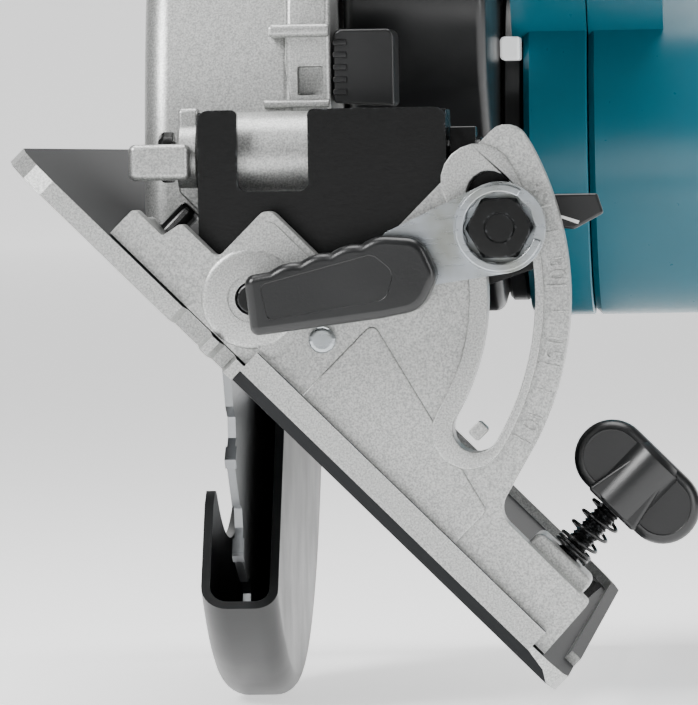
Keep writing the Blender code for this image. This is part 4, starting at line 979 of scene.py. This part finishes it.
# %% Clamshell halves
SEAM, HALF = 60.3, 15.5
outer = rounded(
    [
        (132, 44), (104, 74, 10), (90, 132, 16), (98, 166, 14), (124, 172, 16), (172, 160, 24),
        (226, 138, 22), (256, 110, 20), (262, 58), (180, 58), (170, 40)
    ],
    10
)
gap = rounded(
    [
        (130, 92, 9), (123, 126, 9), (134, 146, 9), (172, 137, 16), (214, 120, 12), (235, 100, 9),
        (237, 79, 7), (196, 80, 10), (170, 77, 8)
    ],
    8
)
halves = (
    ("clamshell_right", 47.2, SEAM - 0.15, SEAM - HALF, SEAM - 0.15),
    ("clamshell_left", SEAM + 0.15, 112.0, SEAM + 0.15, SEAM + HALF)
)
for name, start, stop, handle_start, handle_stop in halves:
    left = name.endswith("left")
    shell = prism(name, [outer, gap], "X", handle_start, handle_stop)
    round_edges(shell, 3.2, 5, 60)
    baked(shell)
    tube = turned(
        "tube",
        [
            (start, 31.5), (start, 35.4), (start + 1.2, 36.6), (stop - (2.6 if left else 0.3), 36.6),
            (stop, 34.0 if left else 36.3), (stop, 31.5)
        ],
        "X", MOTOR, 96
    )
    inner = turned(
        "inner", [(start - 9, 0), (start - 9, 33.9), (stop + 9, 33.9), (stop + 9, 0)], "X", MOTOR, 96
    )
    carve(shell, inner)
    if left:
        cap = turned(
            "cap", [(108.4, 11.3), (108.4, 35.2), (109.4, 35.2), (112, 33.6), (112, 12.0)], "X", MOTOR, 96
        )
        for i in range(5):
            y = MOTOR[0] - 20 + 10 * i
            slot = rounded(
                [(y - 2, 43.6, 1.9), (y + 2, 43.6, 1.9), (y + 2, 55.6, 1.9), (y - 2, 55.6, 1.9)], 4
            )
            carve(cap, prism("vent", [slot], "X", 104, 116))
        dock = prism(
            "dock", [rounded([(60.5, 57, 0.5), (112, 57, 1), (112, 76, 3), (60.5, 76, 2)])], "Y", 186, 290,
            1.2, 3
        )
        tee = [
            (66, 50), (104, 50), (104, 61.6), (107.6, 61.6), (107.6, 71.6), (62.4, 71.6), (62.4, 61.6),
            (66, 61.6)
        ]
        channel = prism("channel", [tee], "Y", 195, 300)
        channel_again = prism("channel", [tee], "Y", 195, 300)
        carve(dock, channel)
        carve(shell, channel_again)
        parts = [shell, tube, cap, dock]
    else:
        plate = turned(
            "plate", [(start, 12), (start, 33), (start + 3, 33), (start + 3, 12)], "X", MOTOR, 96
        )
        parts = [shell, tube, plate]
    room = prism("room", [box((128, 130), (154, 157))], "X", SEAM - 5.6, SEAM + 5.6)
    carve(shell, room, prism("bore", [circle((113, 150), 5, 32)], "X", SEAM - 20, SEAM + 20))
    settle(
        gather(name, parts), upright, "saw", *TEAL, replaces=["housing_left" if left else "housing_right"],
        smooth=40
    )

# %% [markdown]
# ## Tilting bracket and positive stop
# The bracket is 3 mm sheet, folded so that two ears reach back to hold the depth pivot. Folding
# leaves wide soft corners, and the lacquer pulls thin over them. The stop is a small zinc casting
# on the same pivot bolt, with a finger grip and arms of different lengths.

# %% Bracket and stop
face = [
    (-10.8, 11, 3), (-10.8, 35.8, 2.2), (-3.2, 35.8, 1.2), (-3.2, 20.2, 1.7), (10.3, 20.2, 1.7),
    (10.3, 35.8, 1.2), (36.7, 35.8, 2.2), (36.7, 24, 2), (54.55, 22.5, 3), (54.55, 5, 3), (44, 1.5, 3),
    (8, -8.4, 5), (-8, -6, 5), (-7.5, 8, 2)
]
plate = prism("plate", [rounded(face), circle((0, 0), 3.5, 32), circle(BOLT, 4.4, 32)], "Y", 12, 15, 0.9, 4)
ear = rounded([(14.2, 17.5), (33, 17.5, 5), (33, 35.4, 5), (14.2, 35.4)], 8)
hole = circle(DEPTH, 3.3, 32)
ears = [prism("ear", [ear, hole], "X", low, low + 3, 0.7, 3) for low in (-10.78, 33.68)]
settle(gather("tilting_bracket", [plate, *ears]), upright, "tilt", *LACQUER, replaces=["front_bracket"])
right, left = -11.2, -15.3
hub = turned(
    "hub", [(left, 3.3), (left, 6), (left + 0.5, 6.5), (right - 0.5, 6.5), (right, 6), (right, 3.3)], "X",
    DEPTH, 48
)
up = prism(
    "up", [rounded([(21.5, 31), (26.5, 31), (26.2, 36.4, 1), (21.8, 36.4, 1)])], "X", left + 0.1,
    right - 0.1, 0.7, 4
)
grip = prism(
    "grip", [rounded([(12.1, 22.6, 1.2), (19.6, 22.6), (19.6, 29.5), (12.1, 29.5, 1.2)])], "X", left - 8.8,
    right - 1.4, 1.2, 5
)
SET_SCREW_TIP, STOP_GAP = 3.0, 0.8
tip = SET_SCREW_TIP * sqrt(2) + STOP_GAP
down = [(left + 0.1, 23), (left + 0.1, tip - left), (right - 0.1, tip - right), (right - 0.1, 23)]
foot = prism("foot", [down], "Y", 21.5, 26.5, 0.4, 3)
settle(
    gather("bevel_stop_turret", [hub, up, grip, foot]), upright, "stop", *SILVER, replaces=["positive_stop"]
)

# %% [markdown]
# ## Pieces that keep their CAD shape
# The rest is right as it was designed. Each gets its finish, a small edge rounding of its own size,
# and weighted normals. Flat faces are merged first, so the rounding meets only real edges.

# %% Finish the CAD nodes


def dress(node, material, edge=0.4, segments=2, smooth=35):
    """Gives a CAD node its finish and rounds its edges, with modifiers only."""
    obj = NODES[node]
    if obj.material_slots:
        for used in obj.material_slots:
            used.material = material
    else:
        obj.data.materials.append(material)
    if edge:
        merge = obj.modifiers.new("weld", "WELD")
        merge.merge_threshold = 0.00001
        flat = obj.modifiers.new("flat_faces", "DECIMATE")
        flat.decimate_type, flat.angle_limit = "DISSOLVE", radians(2)
        bevel = round_edges(obj, edge * MM, segments)
        bevel.use_clamp_overlap = True
    normals = obj.modifiers.new("normals", "WEIGHTED_NORMAL")
    normals.keep_sharp = True


for nodes, material, edge, segments in (
    (("base_plate", ), base_lacquer_with_painted_shade, 0.6, 3),
    (
        (
            "rear_pivot_bracket", "bevel_clamp_nut", "depth_pivot_bolt", "depth_pivot_nut",
            "front_pivot_pin", "stop_set_screw"
        ),
        black_steel, 0.35, 2
    ),
    (
        ("housing_screw_1", "housing_screw_2", "housing_screw_3", "housing_screw_4", "battery_latch"),
        black_steel, 0.3, 2
    ),
    (("quadrant_rivet", "rear_pivot_pin", "depth_guide", "depth_clamp_bolt"), zinc_plate, 0.3, 2),
    (("saw_blade", ), ground_steel, 0, 1),
    (("blade_bolt", ), zinc_plate, 0.4, 2),
    (
        ("outer_flange", "inner_flange", "spindle", "spindle_bearing", "spindle_bearing_rear"),
        ground_steel, 0.3, 2
    ),
    (("motor_shaft", "rotor_core", "motor_bearing_front", "motor_bearing_rear"), ground_steel, 0.3, 2),
    (("spindle_gear", "pinion_gear"), ground_steel, 0, 1),
    (("stator", ), copper_wire, 0.5, 2),
    (("cooling_fan", "guard_lever", "depth_lever", "lock_off_button"), black_nylon, 0.7, 3),
    (("battery_pack", ), black_nylon, 2.0, 4),
    (("trigger", ), black_nylon, 2.2, 4),
    (("handle_pad_left", "handle_pad_right"), soft_rubber, 0.6, 3),
    (("led_lamp", ), lamp_lens, 0.5, 3),
    (("bevel_pointer", ), black_nylon, 0.5, 3),
):
    for node in nodes:
        dress(node, material, edge, segments)
print(len(NODES), "CAD nodes")

# %% Front grip and pointer line
axis = Vector((0, -0.36, 0.933)).normalized()
profile = [
    (2, 0), (0, 13.2), (8, 13.4), (11, 12.2), (14, 11.4), (19, 10.9), (24, 10.9), (30, 12.2), (36, 13.9),
    (43, 15.6), (50, 16.4), (56, 16.5), (62, 15.9), (67, 13.9), (71, 10.4), (73, 6.6), (74, 0)
]
grip = turned("front_hand_grip", profile, "Z", (0, 0), 48)
lean = Matrix.Translation(
    Vector((28.3, *LOBE)) + axis * 20
) @ Vector((0, 0, 1)).rotation_difference(axis).to_matrix().to_4x4()
grip.data.transform(lean)
carve(grip, prism("seat", [circle(LOBE, 24.3, 64)], "X", 0, 60))
settle(grip, upright, "saw", soft_rubber, "soft_grip", replaces=["front_grip"], smooth=60)
line = prism("pointer_line", [[(57.0, 15.2), (57.3, 14.6), (61.7, 13.0), (62.0, 13.6)]], "Y", 10.25, 11.0)
settle(line, upright, "tilt", white_print, "clear_lens")

# %% [markdown]
# ## Stage
# A pale floor under the saw that curves up far behind it, a soft key light above on the left, a
# weaker one on the right and one overhead. The camera has a long lens and stands level with the
# bevel pivot. The floor glows a little, so that it stays paler than the silver lacquer.

# %% Floor, lights and camera
floor_finish, shader = new_material("pale_floor", "F8F8F8", 0.7, Emission_Strength=0.95)
shader.inputs["Emission Color"].default_value = linear("FFFFFF")
REACH, BEND, TOP = 12.0, 2.0, 6.0
UNDER = 0.0005
sweep = [(-REACH, 0.0), (REACH - BEND, 0.0)]
for angle in range(10, 91, 10):
    turn = radians(angle)
    sweep.append((REACH - BEND + BEND * sin(turn), BEND - BEND * cos(turn)))
sweep.append((REACH, TOP))
points = [(x, y, z - UNDER) for x in (-REACH, REACH) for y, z in sweep]
n = len(sweep)
cove = from_points("floor_cove", points, [(i, i + 1, n + i + 1, n + i) for i in range(n - 1)])
cove.data.materials.append(floor_finish)
cove.data.shade_smooth()


def light(name, place, aim, size, power):
    lamp = bpy.data.lights.new(name, "AREA")
    lamp.shape, lamp.size, lamp.size_y, lamp.energy = "RECTANGLE", size[0], size[1], power
    obj = bpy.data.objects.new(name, lamp)
    bpy.context.scene.collection.objects.link(obj)
    obj.location = PIVOT + Vector(place)
    obj.rotation_euler = (PIVOT + Vector(aim) - obj.location).to_track_quat("-Z", "Y").to_euler()


light("key_left", (-0.7, -0.75, 0.75), (0.02, 0.05, 0), (0.45, 0.6), 22)
light("fill_right", (1.0, -0.5, 0.25), (0, 0.1, 0), (0.3, 0.9), 5)
light("top", (0.1, 0.1, 1.1), (0, 0.1, 0), (0.8, 0.8), 14)
world = bpy.data.worlds.new("studio")
bpy.context.scene.world = world
world.use_nodes = True
world.node_tree.nodes["Background"].inputs["Color"].default_value = linear("FFFFFF")
world.node_tree.nodes["Background"].inputs["Strength"].default_value = 0.13

lens = bpy.data.cameras.new("camera")
LENS_MM, SENSOR_MM = 413, 36
lens.sensor_fit, lens.sensor_width, lens.lens = "AUTO", SENSOR_MM, LENS_MM
camera = bpy.data.objects.new("camera", lens)
bpy.context.scene.collection.objects.link(camera)
camera.location = PIVOT + Vector((0.115, -1.527, 0.025))
camera.rotation_euler = (radians(90 - 1.33), radians(1.0), radians(3.6))
bpy.context.scene.camera = camera
